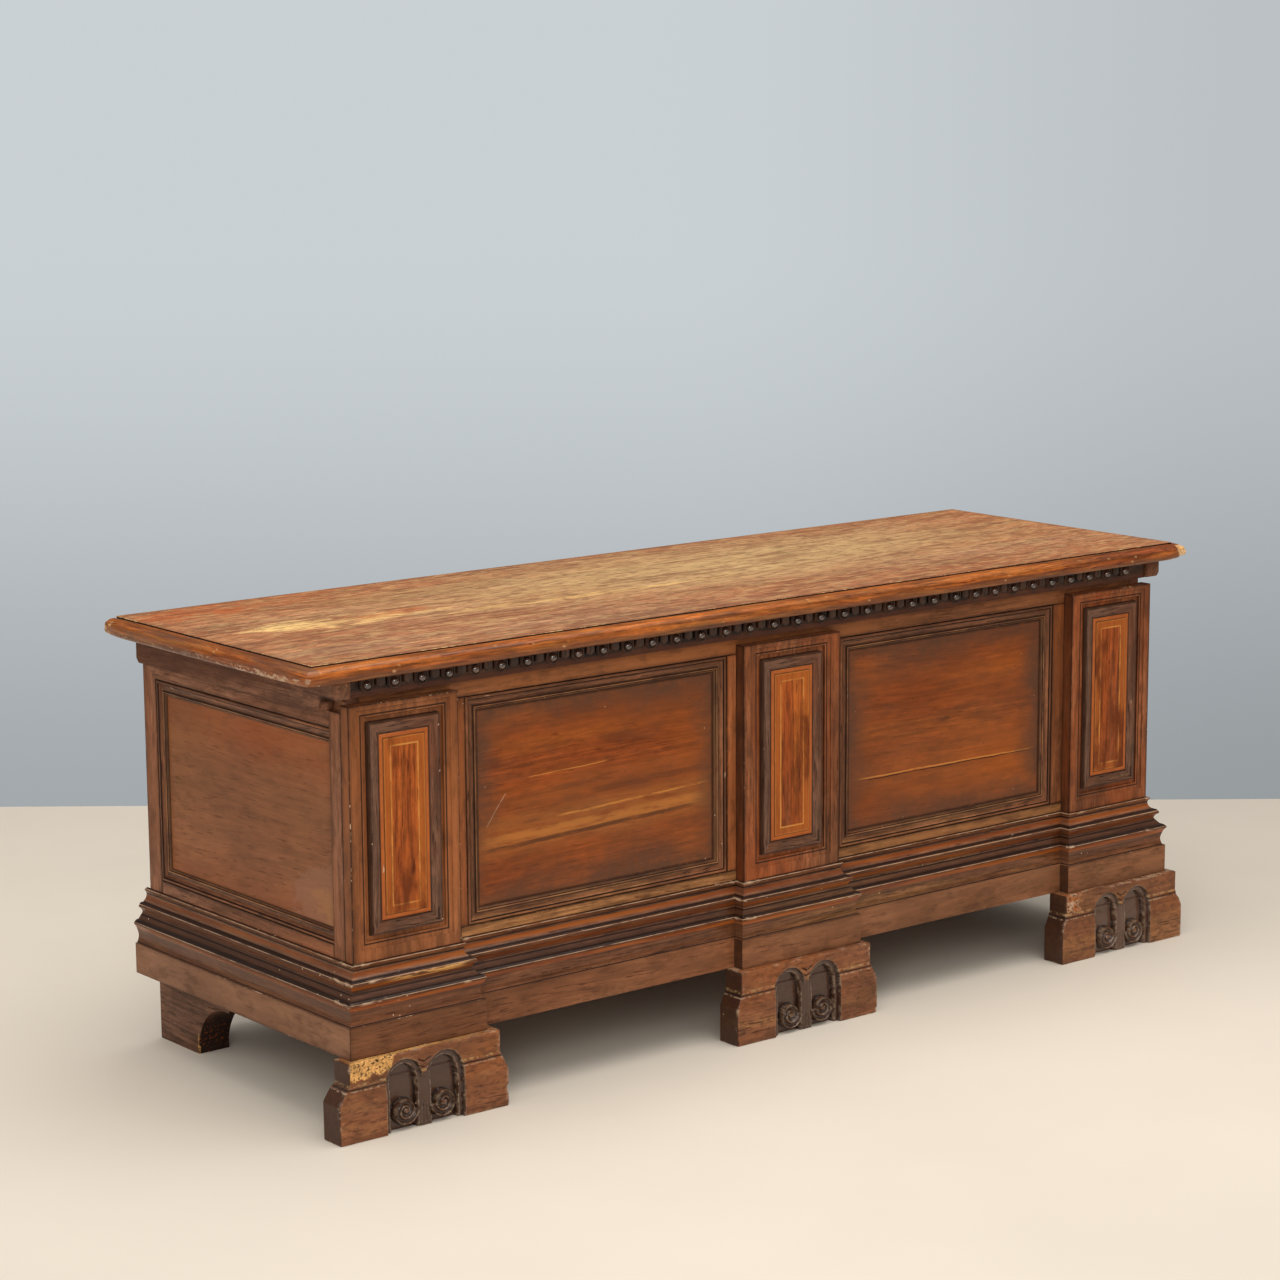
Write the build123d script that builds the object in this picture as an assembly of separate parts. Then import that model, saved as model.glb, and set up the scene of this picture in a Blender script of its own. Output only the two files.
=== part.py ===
"""A walnut cassone: a long low chest with a hinged lid.

The carcass is framed and panelled. Three pilasters stand on its front, a moulded plinth breaks
forward under each of them, and three carved feet carry the front and two bracket feet the back.
The lid is one board with an applied edge moulding, two scooped cleats under its ends and a
pearl-and-tooth strip between them, and it turns on two iron hinges behind the back.

Millimetres. X runs along the chest, Y from front to back and Z up. The origin is on the floor,
midway along the lid and midway between the front feet's faces and the rear feet's backs.
"""

from build123d import *
import math
import os

# ---- carcass -------------------------------------------------------------------------------
LID_LENGTH = 1720.0  # over the edge mouldings
LID_END_OVERHANG = 75.5  # moulding's nose beyond the ends of the carcass
CARCASS_LENGTH = LID_LENGTH - 2 * LID_END_OVERHANG
CARCASS_DEPTH = 539.0  # from the pilasters' faces to the back's outer face
FOOT_HEIGHT = 111.5
PLINTH_HEIGHT = 45.5  # plain fascia between the feet and the moulded courses
COURSE_HEIGHT = 81.0  # moulded courses above the fascia
PILASTER_HEIGHT = 356.0  # seen height above the courses
PILASTER_GAP = 38.0  # from the pilasters' tops up to the underside of the lid

FRAME_THICKNESS = 24.0  # front stiles and rails
SIDE_THICKNESS = 30.0  # end stiles and rails
BACK_THICKNESS = 20.0
BACK_JOINT_HEIGHT = 405.0  # the two back boards meet at this height
FLOOR_THICKNESS = 20.0
FLOOR_BOARDS = 3

# ---- large panels --------------------------------------------------------------------------
PANEL_THICKNESS = 12.0
PANEL_RECESS = 6.5  # from the frame's face back to the panel's face
GROOVE_DEPTH = 9.0
PANEL_PLAY = 1.0  # room for the panel to move at the bottom of its groove
FRONT_PANEL_LOW = 14.0  # lower edge of the opening above the courses
FRONT_PANEL_HEIGHT = 327.5
SIDE_PANEL_LOW = 18.0
SIDE_TOP_RAIL = 24.0
SIDE_STILE_FRONT = 28.0
SIDE_STILE_REAR = 35.0

PANEL_MOULDING_WIDTH = 22.0
PANEL_QUIRK_WIDTH = 1.5
PANEL_QUIRK_DROP = 2.5  # the quirk lies this far below the frame's face
PANEL_ARRIS_WIDTH = 1.0
PANEL_BEAD_SETBACK = 6.5  # from the moulding's inner edge to its small bead
PANEL_BEAD_WIDTH = 2.5
PANEL_BEAD_DROP = 2.0
PANEL_HOLLOW_SAG = 1.2
PANEL_TOE = 0.8  # thickness left at the inner edge

# ---- pilasters -----------------------------------------------------------------------------
PILASTER_THICKNESS = 19.0
END_PILASTER_WIDTH = 181.0
MIDDLE_PILASTER_WIDTH = 190.0
MIDDLE_OFFSET = 8.0  # the middle pilaster and its foot stand this far right of centre
END_REVEAL = 25.0  # frame seen beside each end pilaster
MIDDLE_REVEAL = 17.0  # frame seen on each side of the middle pilaster

SUNK_WIDTH = 155.0  # sunk field in each pilaster's face
SUNK_TOP_MARGIN = 7.0
SUNK_BOTTOM_MARGIN = 16.0
SUNK_DEPTH = 2.0
SUNK_STEP_WIDTH = 11.0  # width of the strip between the two steps
SUNK_FLOOR_DEPTH = 6.0
QUIRK_WIDTH = 7.5  # floor left round the tablet moulding
TABLET_BEVEL = 18.0
TABLET_RIDGE = 6.5
TABLET_LIP_PROUD = 1.5  # the moulding's outer lip stands this far ahead of the pilaster
TABLET_LIP_WIDTH = 2.0
TABLET_BEVEL_FALL = 3.0
TABLET_RIDGE_RISE = 1.6
TABLET_FACE_DEPTH = 0.5  # the tablet's face lies this far behind the pilaster's

# ---- plinth --------------------------------------------------------------------------------
PLINTH_PROUD = 24.0  # fascia ahead of the wall behind it
PLINTH_BOARD = 80.0  # width of the plinth boards, measured from the recessed fascia
PLINTH_REAR_PROUD = 8.0  # plinth behind the back

COURSE_FOOT = 21.0  # projection where the courses stand on the fascia
LOW_HOLLOW = 2.6
LOW_LIP_OUT = 24.5
LOW_LIP_HEIGHT = 29.0
LOW_LIP_NOSE = 2.5
MIDDLE_NECK_OUT = 10.5
MIDDLE_NECK_HEIGHT = 44.5
MIDDLE_NECK_SAG = 1.6
MIDDLE_LIP_OUT = 14.5
MIDDLE_LIP_HEIGHT = 52.5
MIDDLE_LIP_NOSE = 5.0
TOP_NECK_OUT = 1.8
TOP_NECK_HEIGHT = 72.0
TOP_NECK_SAG = 1.4
TOP_LIP_OUT = 5.0
TOP_LIP_HEIGHT = 77.0
TOP_LIP_NOSE = 2.5

# ---- feet ----------------------------------------------------------------------------------
FOOT_WIDTH = 281.0
FOOT_THICKNESS = 41.0
FRONT_FOOT_PROUD = 39.0  # front feet ahead of the pilasters' faces
FOOT_OVERHANG = 50.3  # end feet beyond the ends of the carcass
FOOT_SHOULDER_LOW = 55.0
FOOT_SHOULDER_HIGH = 75.0
FOOT_SIDE_INSET = 11.0
FOOT_FRONT_INSET = 4.0
CARVING_WIDTH = 129.0  # recess between the two plain blocks
CARVING_DEPTH = 15.0
CARVING_CROWN = 101.0  # height of the niches' crowns
STEM_WIDTH = 7.0  # wood left between the niches
NICHE_RIM = 8.0
NICHE_RIM_DEPTH = 6.0
VOLUTE_RADIUS = 18.0
VOLUTE_OFFSET = 32.0  # volutes' centres either side of the stem
VOLUTE_HEIGHT = 27.5
VOLUTE_TIGHTEN = 3.6  # each half turn of the volute is this much smaller
VOLUTE_HALF_TURNS = 3
VOLUTE_EYE_RADIUS = 4.4
VOLUTE_EYE_SIDES = 8  # the eye is a boss cut with flat facets
VOLUTE_RIDGE = 2.6
VOLUTE_FACE_DEPTH = 2.5  # ridge's face behind the block's face
VOLUTE_BED_DEPTH = 7.0
LEAF_LOBES = 3
LEAF_LENGTH = 22.0
LEAF_SPREAD = 28.0  # degrees between neighbouring lobes
LEAF_LOBE_WIDTH = 8.0
LEAF_SHOULDER = 0.75  # where along a lobe it is widest
LEAF_ROOT_HEIGHT = 26.0  # the lobes hang from here

REAR_FOOT_PROUD = 16.0  # rear feet behind the back
REAR_FOOT_INSET = 19.5  # rear feet's outer faces inside the ends of the carcass
REAR_FOOT_THICKNESS = 52.0
REAR_FOOT_LENGTH = 109.0
REAR_ARCH_RADIUS = 76.5
REAR_ARCH_SPRING = 5.0
REAR_FOOT_NIB = 12.0

# ---- lid -----------------------------------------------------------------------------------
LID_THICKNESS = 24.5
LID_FRONT_OVERHANG = 18.5  # moulding's nose ahead of the pilasters' faces
LID_REAR_SETBACK = 20.5  # lid's rear edge ahead of the back's outer face
LID_MOULDING_WIDTH = 22.5
LID_MOULDING_HEIGHT = 22.5
LID_NOSE_UNDERCUT = 2.5
LID_NOSE_LOW = 6.0  # the nose is upright from here
LID_NOSE_HIGH = 13.0  # to here
LID_NOSE_LOW_SAG = 0.8
LID_NOSE_HIGH_SAG = 1.9
LID_ROUND_WIDTH = 6.5  # the round over the nose, measured inwards
LID_ROUND_DROP = 1.5  # and its upper end below the lip
LID_QUIRK_WIDTH = 2.5  # groove between the lid board and the moulding's lip
LID_QUIRK_DEPTH = 3.5

CLEAT_THICKNESS = 29.5
CLEAT_LAP = 7.3  # cleats' inner faces inside the ends of the carcass
CLEAT_DEPTH = 47.5
CLEAT_NOSE_DEPTH = 27.5
CLEAT_NOSE_LENGTH = 23.5
CLEAT_NOSE_SETBACK = 2.5  # nose behind the pilasters' faces
CLEAT_CLEARANCE = 1.5
CLEAT_CORNER = 6.0  # bevelled lower corner at the rear
CLEAT_NOSE_BEVEL = 5.0  # bevelled lower outer corner of the nose

STRIP_HEIGHT = 28.0
STRIP_BACKING = 8.5
STRIP_RELIEF = 5.5
STRIP_SETBACK = 1.0
STRIP_LEFT_END = 25.5  # from the left cleat to the first pearl
STRIP_RIGHT_END = 52.9  # from the last pearl to the right cleat
TOOTH_WIDTH = 23.0
TOOTH_HEIGHT = 20.0
TOOTH_BELLY = 4.5  # rise of the tooth's round bottom
TONGUE_WIDTH = 15.0
TONGUE_HEIGHT = 17.0
TONGUE_POINT = 3.0
# The strip was cut in three lengths, each with its own count of steps and its own pitch. The
# pitches share out whatever room there is between the first and the last pearl.
LEFT_PEARLS = 12
LEFT_PITCH = 44.75
MIDDLE_PEARLS = 12
MIDDLE_PITCH = 46.6
RIGHT_PEARLS = 9
RIGHT_PITCH = 42.2

# ---- hinges --------------------------------------------------------------------------------
HINGE_OFFSET = 520.0
HINGE_WIDTH = 40.0
HINGE_LEAF = 2.5
HINGE_BARREL_RADIUS = 5.5
HINGE_PIN_RADIUS = 2.5
HINGE_PIN_CLEARANCE = 0.05
HINGE_KNUCKLE_GAP = 0.4
HINGE_BACK_CLEARANCE = 0.5
HINGE_BACK_LEAF_HEIGHT = 85.0
HINGE_LID_LEAF_LENGTH = 110.0
HINGE_PIN_END = 1.5  # pin standing out of each end of the barrel

# ---- levels and planes ---------------------------------------------------------------------
Z_PLINTH = FOOT_HEIGHT
Z_COURSE = Z_PLINTH + PLINTH_HEIGHT
Z_WALL = Z_COURSE + COURSE_HEIGHT
Z_PILASTER = Z_WALL + PILASTER_HEIGHT
Z_RIM = Z_PILASTER + PILASTER_GAP
Z_FLOOR = Z_COURSE + FLOOR_THICKNESS
Z_SHOULDER = Z_RIM - CLEAT_DEPTH - CLEAT_CLEARANCE
Z_PANEL_LOW = Z_WALL + FRONT_PANEL_LOW
Z_PANEL_HIGH = Z_PANEL_LOW + FRONT_PANEL_HEIGHT
Z_SIDE_LOW = Z_WALL + SIDE_PANEL_LOW
Z_SIDE_HIGH = Z_SHOULDER - SIDE_TOP_RAIL

OVERALL_DEPTH = FRONT_FOOT_PROUD + CARCASS_DEPTH + REAR_FOOT_PROUD
Y_FOOT = -OVERALL_DEPTH / 2
Y_FACE = Y_FOOT + FRONT_FOOT_PROUD
Y_FRAME = Y_FACE + PILASTER_THICKNESS
Y_INSIDE = Y_FRAME + FRAME_THICKNESS
Y_BACK = Y_FACE + CARCASS_DEPTH
Y_BACK_INSIDE = Y_BACK - BACK_THICKNESS
Y_PLINTH_REAR = Y_BACK + PLINTH_REAR_PROUD
Y_SIDE_FRONT = Y_FRAME + SIDE_STILE_FRONT
Y_SIDE_REAR = Y_BACK - SIDE_STILE_REAR
Y_LID_REAR = Y_BACK - LID_REAR_SETBACK
Y_LID_FRONT = Y_FACE - LID_FRONT_OVERHANG + LID_MOULDING_WIDTH

X_WALL = CARCASS_LENGTH / 2
X_INSIDE = X_WALL - SIDE_THICKNESS
X_END_PILASTER = X_WALL - END_PILASTER_WIDTH
X_OPENING = X_END_PILASTER - END_REVEAL
X_PLINTH = X_WALL + PLINTH_PROUD
X_CLEAT = X_WALL - CLEAT_LAP
X_TONGUE = X_CLEAT - CLEAT_CLEARANCE
X_LID = LID_LENGTH / 2 - LID_MOULDING_WIDTH
MIDDLE_HALF = MIDDLE_PILASTER_WIDTH / 2
MIDDLE_MUNTIN = MIDDLE_HALF + MIDDLE_REVEAL

HINGE_Y = Y_BACK + HINGE_BARREL_RADIUS + HINGE_BACK_CLEARANCE
HINGE_Z = Z_RIM + HINGE_LEAF - HINGE_BARREL_RADIUS


# ---- helpers -------------------------------------------------------------------------------
def board(x0, x1, y0, y1, z0, z1):
    """A rectangular board between two opposite corners."""
    middle = Pos((x0 + x1) / 2, (y0 + y1) / 2, (z0 + z1) / 2)
    return middle * Box(x1 - x0, y1 - y0, z1 - z0)


def outline(points):
    """A flat face from (across, up, sag) points; sag bends the edge that leaves the point.

    A positive sag bends that edge to the left of its direction, and zero leaves it straight.
    """
    edges = []
    for here, there in zip(points, points[1:] + points[:1]):
        start, end = here[:2], there[:2]
        if here[2]:
            edges.append(SagittaArc(start, end, here[2]))
        else:
            edges.append(Line(start, end))
    return make_face(Wire(edges))


def prism(plane, face, length):
    """A face drawn on a plane and pushed out along the plane's normal."""
    return extrude(plane * face, length, dir=plane.z_dir)


def turn(before, after):
    """1 where a path turns left, -1 where it turns right and 0 at an open end."""
    if before is None or after is None:
        return 0
    cross = before.X * after.Y - before.Y * after.X
    return int(math.copysign(1, cross))


def mitred_runs(profile, reach, path, closed=False):
    """One solid for each straight stretch of a path in the XY plane, with mitred ends.

    The profile is drawn as (projection, height). Its projection goes to the right of the path
    and its height along Z. Reach is more than its largest projection.
    """
    points = [Vector(x, y) for x, y in path]
    stretches = list(zip(points, points[1:]))
    if closed:
        stretches.append((points[-1], points[0]))
    ways = [(end - start).normalized() for start, end in stretches]
    section = profile.mirror(Plane.YZ)
    height = profile.bounding_box().max.Y
    solids = []
    for i, (start, end) in enumerate(stretches):
        before = ways[i - 1] if i or closed else None
        last = i == len(stretches) - 1
        after = ways[0] if last and closed else None if last else ways[i + 1]
        length = (end - start).length
        first = -reach * turn(before, ways[i])
        final = length + reach * turn(ways[i], after)
        bar = Pos(-reach, 0, 0) * prism(Plane.YZ, section, length + 2 * reach)
        ends = Polygon((0, 0), (length, 0), (final, -reach), (first, -reach), align=None)
        run = bar & prism(Plane.XY, ends, height)
        heading = math.degrees(math.atan2(ways[i].Y, ways[i].X))
        solids.append(Pos(start.X, start.Y, 0) * Rot(0, 0, heading) * run)
    return solids


def group(solids):
    """Separate solids that share one node."""
    found = [solid for piece in solids for solid in piece.solids()]
    return Compound(found)


def left_and_right(name, left):
    """A piece of the left end and its mirror image at the right end."""
    return {name + "_left": left, name + "_right": left.mirror(Plane.YZ)}


# ---- lid -----------------------------------------------------------------------------------
def lid_moulding():
    """Rounded edge moulding, mitred at the two front corners and square at the back."""
    quirk = LID_MOULDING_HEIGHT - LID_QUIRK_DEPTH
    profile = outline(
        [
            (0, 0, 0),
            (LID_MOULDING_WIDTH - LID_NOSE_UNDERCUT, 0, -LID_NOSE_LOW_SAG),
            (LID_MOULDING_WIDTH, LID_NOSE_LOW, 0),
            (LID_MOULDING_WIDTH, LID_NOSE_HIGH, -LID_NOSE_HIGH_SAG),
            (LID_MOULDING_WIDTH - LID_ROUND_WIDTH, LID_MOULDING_HEIGHT - LID_ROUND_DROP, 0),
            (LID_QUIRK_WIDTH, LID_MOULDING_HEIGHT, 0),
            (LID_QUIRK_WIDTH, quirk, 0),
            (0, quirk, 0),
        ]
    )
    path = [(-X_LID, Y_LID_REAR), (-X_LID, Y_LID_FRONT), (X_LID, Y_LID_FRONT), (X_LID, Y_LID_REAR)]
    left, front, right = mitred_runs(profile, 2 * LID_MOULDING_WIDTH, path)
    lift = Pos(0, 0, Z_RIM)
    return {
        "lid_moulding_left": lift * left,
        "lid_moulding_front": lift * front,
        "lid_moulding_right": lift * right,
    }


def lid_cleat():
    """The left cleat: a deep batten whose underside is scooped out behind a short nose."""
    nose = Y_FACE + CLEAT_NOSE_SETBACK
    scoop = CLEAT_DEPTH - CLEAT_NOSE_DEPTH
    scoop_start = nose + CLEAT_NOSE_LENGTH
    rise = scoop * (1 - math.sqrt(0.5))
    side = outline(
        [
            (nose, Z_RIM, 0),
            (nose, Z_RIM - CLEAT_NOSE_DEPTH, 0),
            (scoop_start, Z_RIM - CLEAT_NOSE_DEPTH, rise),
            (scoop_start + scoop, Z_RIM - CLEAT_DEPTH, 0),
            (Y_LID_REAR - CLEAT_CORNER, Z_RIM - CLEAT_DEPTH, 0),
            (Y_LID_REAR, Z_RIM - CLEAT_DEPTH + CLEAT_CORNER, 0),
            (Y_LID_REAR, Z_RIM, 0),
        ]
    )
    cleat = Pos(-X_CLEAT - CLEAT_THICKNESS, 0, 0) * prism(Plane.YZ, side, CLEAT_THICKNESS)
    nose_edges = cleat.edges().filter_by(Axis.Y).group_by(Axis.Y)[0]
    lower_outer = nose_edges.group_by(Axis.Z)[0].sort_by(Axis.X)[0]
    return chamfer(lower_outer, CLEAT_NOSE_BEVEL)


def pearl_places():
    """Distances along X of the pearls on the strip."""
    runs = [LEFT_PITCH] * LEFT_PEARLS + [MIDDLE_PITCH] * MIDDLE_PEARLS + [RIGHT_PITCH] * RIGHT_PEARLS
    room = 2 * X_CLEAT - STRIP_LEFT_END - STRIP_RIGHT_END
    place = -X_CLEAT + STRIP_LEFT_END
    places = [place]
    for pitch in runs:
        place += pitch * room / sum(runs)
        places.append(place)
    return places


def pearl_strip():
    """Backing bar with round-bottomed teeth that carry the pearls and pointed tongues between."""
    front = Y_FACE + STRIP_SETBACK
    back = front + STRIP_RELIEF + STRIP_BACKING
    strip = board(-X_CLEAT, X_CLEAT, front + STRIP_RELIEF, back, Z_RIM - STRIP_HEIGHT, Z_RIM)
    half = TOOTH_WIDTH / 2
    tooth = outline(
        [
            (-half, Z_RIM, 0),
            (-half, Z_RIM - TOOTH_HEIGHT + TOOTH_BELLY, -TOOTH_BELLY),
            (half, Z_RIM - TOOTH_HEIGHT + TOOTH_BELLY, 0),
            (half, Z_RIM, 0),
        ]
    )
    half_tongue = TONGUE_WIDTH / 2
    tongue = Polygon(
        (-half_tongue, Z_RIM),
        (-half_tongue, Z_RIM - TONGUE_HEIGHT + TONGUE_POINT),
        (0, Z_RIM - TONGUE_HEIGHT),
        (half_tongue, Z_RIM - TONGUE_HEIGHT + TONGUE_POINT),
        (half_tongue, Z_RIM),
        align=None,
    )
    places = pearl_places()
    relief = []
    for here, there in zip(places, places[1:]):
        relief.append(Pos(here, 0) * tooth)
        relief.append(Pos((here + there) / 2, 0) * tongue)
    relief.append(Pos(places[-1], 0) * tooth)
    for face in relief:
        carved = prism(Plane.XZ, face, STRIP_RELIEF)
        strip += Pos(0, front + STRIP_RELIEF, 0) * carved
    return strip


# ---- carcass -------------------------------------------------------------------------------
def front_openings():
    """(left, right) of the two panel openings in the front frame."""
    return (
        (-X_OPENING, MIDDLE_OFFSET - MIDDLE_MUNTIN),
        (MIDDLE_OFFSET + MIDDLE_MUNTIN, X_OPENING),
    )


def front_frame():
    """Rails, stiles and muntin of the front, grooved for the panels, and the panels."""
    face = Y_FRAME + PANEL_RECESS
    pieces = {
        "front_top_rail": board(-X_INSIDE, X_INSIDE, Y_FRAME, Y_INSIDE, Z_PANEL_HIGH, Z_RIM),
        "front_bottom_rail": board(-X_INSIDE, X_INSIDE, Y_FRAME, Y_INSIDE, Z_COURSE, Z_PANEL_LOW),
    }
    uprights = (
        ("front_stile_left", -X_INSIDE, -X_OPENING),
        ("front_muntin", MIDDLE_OFFSET - MIDDLE_MUNTIN, MIDDLE_OFFSET + MIDDLE_MUNTIN),
        ("front_stile_right", X_OPENING, X_INSIDE),
    )
    for name, x0, x1 in uprights:
        pieces[name] = board(x0, x1, Y_FRAME, Y_INSIDE, Z_PANEL_LOW, Z_PANEL_HIGH)
    for side, (x0, x1) in zip(("left", "right"), front_openings()):
        groove = board(
            x0 - GROOVE_DEPTH,
            x1 + GROOVE_DEPTH,
            face,
            face + PANEL_THICKNESS,
            Z_PANEL_LOW - GROOVE_DEPTH,
            Z_PANEL_HIGH + GROOVE_DEPTH,
        )
        for name in list(pieces):
            pieces[name] -= groove
        tongue = GROOVE_DEPTH - PANEL_PLAY
        panels = board(
            x0 - tongue,
            x1 + tongue,
            face,
            face + PANEL_THICKNESS,
            Z_PANEL_LOW - tongue,
            Z_PANEL_HIGH + tongue,
        )
        pieces["front_panel_" + side] = panels
    return pieces


def panel_moulding_profile():
    """Quirk, arris, long hollow and small bead, drawn inward from the frame's edge."""
    bead = PANEL_MOULDING_WIDTH - PANEL_BEAD_SETBACK
    arris = PANEL_QUIRK_WIDTH + PANEL_ARRIS_WIDTH
    return outline(
        [
            (0, 0, 0),
            (PANEL_MOULDING_WIDTH, 0, 0),
            (PANEL_MOULDING_WIDTH, PANEL_TOE, -PANEL_TOE),
            (bead + PANEL_BEAD_WIDTH, PANEL_RECESS - PANEL_BEAD_DROP, 0),
            (bead, PANEL_RECESS - PANEL_BEAD_DROP, 0),
            (bead, PANEL_RECESS - 2 * PANEL_BEAD_DROP, PANEL_HOLLOW_SAG),
            (arris, PANEL_RECESS, 0),
            (PANEL_QUIRK_WIDTH, PANEL_RECESS, 0),
            (PANEL_QUIRK_WIDTH, PANEL_RECESS - PANEL_QUIRK_DROP, 0),
            (0, PANEL_RECESS - PANEL_QUIRK_DROP, 0),
        ]
    )


def front_panel_mouldings():
    """A mitred frame of four strips round each front panel."""
    profile = panel_moulding_profile()
    face = Plane.XZ.offset(-Y_FRAME - PANEL_RECESS)
    pieces = {}
    for side, (x0, x1) in zip(("left", "right"), front_openings()):
        path = [(x0, Z_PANEL_LOW), (x0, Z_PANEL_HIGH), (x1, Z_PANEL_HIGH), (x1, Z_PANEL_LOW)]
        strips = mitred_runs(profile, 2 * PANEL_MOULDING_WIDTH, path, closed=True)
        pieces["front_panel_moulding_" + side] = group([face * strip for strip in strips])
    return pieces


def side_frame():
    """The left end: two stiles, two rails, a panel and its moulding.

    The top rail and the rear stile meet in a mitre. A tongue along the top rail rises to the lid
    behind the cleat, and the rest of the end stops below the cleat.
    """
    outer = Plane.YZ.offset(-X_WALL)
    stile_rear = outline(
        [
            (Y_SIDE_REAR, Z_COURSE, 0),
            (Y_BACK, Z_COURSE, 0),
            (Y_BACK, Z_SHOULDER, 0),
            (Y_SIDE_REAR, Z_SIDE_HIGH, 0),
        ]
    )
    rail_top = outline(
        [
            (Y_SIDE_FRONT, Z_SIDE_HIGH, 0),
            (Y_SIDE_REAR, Z_SIDE_HIGH, 0),
            (Y_BACK, Z_SHOULDER, 0),
            (Y_SIDE_FRONT, Z_SHOULDER, 0),
        ]
    )
    tongue = board(-X_TONGUE, -X_INSIDE, Y_FRAME, Y_BACK, Z_SHOULDER, Z_RIM)
    pieces = {
        "side_front_stile": board(-X_WALL, -X_INSIDE, Y_FRAME, Y_SIDE_FRONT, Z_COURSE, Z_SHOULDER),
        "side_rear_stile": prism(outer, stile_rear, SIDE_THICKNESS),
        "side_top_rail": prism(outer, rail_top, SIDE_THICKNESS) + tongue,
        "side_bottom_rail": board(
            -X_WALL, -X_INSIDE, Y_SIDE_FRONT, Y_SIDE_REAR, Z_COURSE, Z_SIDE_LOW
        ),
    }
    face = -X_WALL + PANEL_RECESS
    groove = board(
        face,
        face + PANEL_THICKNESS,
        Y_SIDE_FRONT - GROOVE_DEPTH,
        Y_SIDE_REAR + GROOVE_DEPTH,
        Z_SIDE_LOW - GROOVE_DEPTH,
        Z_SIDE_HIGH + GROOVE_DEPTH,
    )
    for name in list(pieces):
        pieces[name] -= groove
    reach = GROOVE_DEPTH - PANEL_PLAY
    pieces["side_panel"] = board(
        face,
        face + PANEL_THICKNESS,
        Y_SIDE_FRONT - reach,
        Y_SIDE_REAR + reach,
        Z_SIDE_LOW - reach,
        Z_SIDE_HIGH + reach,
    )
    outward = Plane(origin=(face, 0, 0), x_dir=(0, -1, 0), z_dir=(-1, 0, 0))
    path = [
        (-Y_SIDE_FRONT, Z_SIDE_LOW),
        (-Y_SIDE_REAR, Z_SIDE_LOW),
        (-Y_SIDE_REAR, Z_SIDE_HIGH),
        (-Y_SIDE_FRONT, Z_SIDE_HIGH),
    ]
    strips = mitred_runs(panel_moulding_profile(), 2 * PANEL_MOULDING_WIDTH, path)
    pieces["side_panel_moulding"] = group([outward * strip for strip in strips])
    return pieces


def back_and_floor():
    """Two back boards, one above the other, and the floor boards."""
    pieces = {
        "back_board_upper": board(
            -X_INSIDE, X_INSIDE, Y_BACK_INSIDE, Y_BACK, BACK_JOINT_HEIGHT, Z_RIM
        ),
        "back_board_lower": board(
            -X_INSIDE, X_INSIDE, Y_BACK_INSIDE, Y_BACK, Z_COURSE, BACK_JOINT_HEIGHT
        ),
    }
    width = (Y_BACK_INSIDE - Y_INSIDE) / FLOOR_BOARDS
    planks = []
    for i in range(FLOOR_BOARDS):
        near = Y_INSIDE + i * width
        planks.append(board(-X_INSIDE, X_INSIDE, near, near + width, Z_COURSE, Z_FLOOR))
    pieces["floor_boards"] = group(planks)
    return pieces


# ---- pilasters -----------------------------------------------------------------------------
def pilasters():
    """(name, centre, width) of the three pilasters."""
    end = X_WALL - END_PILASTER_WIDTH / 2
    return (
        ("left", -end, END_PILASTER_WIDTH),
        ("middle", MIDDLE_OFFSET, MIDDLE_PILASTER_WIDTH),
        ("right", end, END_PILASTER_WIDTH),
    )


def pilaster(name, centre, width):
    """A board with a stepped sunk field, a mitred moulding in it and the tablet inside that."""
    half = width / 2
    shaft = board(centre - half, centre + half, Y_FACE, Y_FRAME, Z_COURSE, Z_PILASTER)
    low = Z_WALL + SUNK_BOTTOM_MARGIN
    high = Z_PILASTER - SUNK_TOP_MARGIN
    field = SUNK_WIDTH / 2
    floor = Y_FACE + SUNK_FLOOR_DEPTH
    shaft -= board(centre - field, centre + field, Y_FACE, Y_FACE + SUNK_DEPTH, low, high)
    low += SUNK_STEP_WIDTH
    high -= SUNK_STEP_WIDTH
    field -= SUNK_STEP_WIDTH
    shaft -= board(centre - field, centre + field, Y_FACE, floor, low, high)
    low += QUIRK_WIDTH
    high -= QUIRK_WIDTH
    field -= QUIRK_WIDTH
    lip = SUNK_FLOOR_DEPTH + TABLET_LIP_PROUD
    bed = lip - TABLET_BEVEL_FALL
    inner = TABLET_BEVEL + TABLET_RIDGE
    profile = outline(
        [
            (0, 0, 0),
            (inner, 0, 0),
            (inner, bed, -TABLET_RIDGE_RISE),
            (TABLET_BEVEL, bed, 0),
            (TABLET_LIP_WIDTH, lip, 0),
            (0, lip, 0),
        ]
    )
    path = [
        (centre - field, low),
        (centre - field, high),
        (centre + field, high),
        (centre + field, low),
    ]
    face = Plane.XZ.offset(-floor)
    strips = mitred_runs(profile, 2 * inner, path, closed=True)
    tablet = board(
        centre - field + inner,
        centre + field - inner,
        Y_FACE + TABLET_FACE_DEPTH,
        floor,
        low + inner,
        high - inner,
    )
    return {
        "pilaster_" + name: shaft,
        "tablet_moulding_" + name: group([face * strip for strip in strips]),
        "tablet_" + name: tablet,
    }


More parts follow.
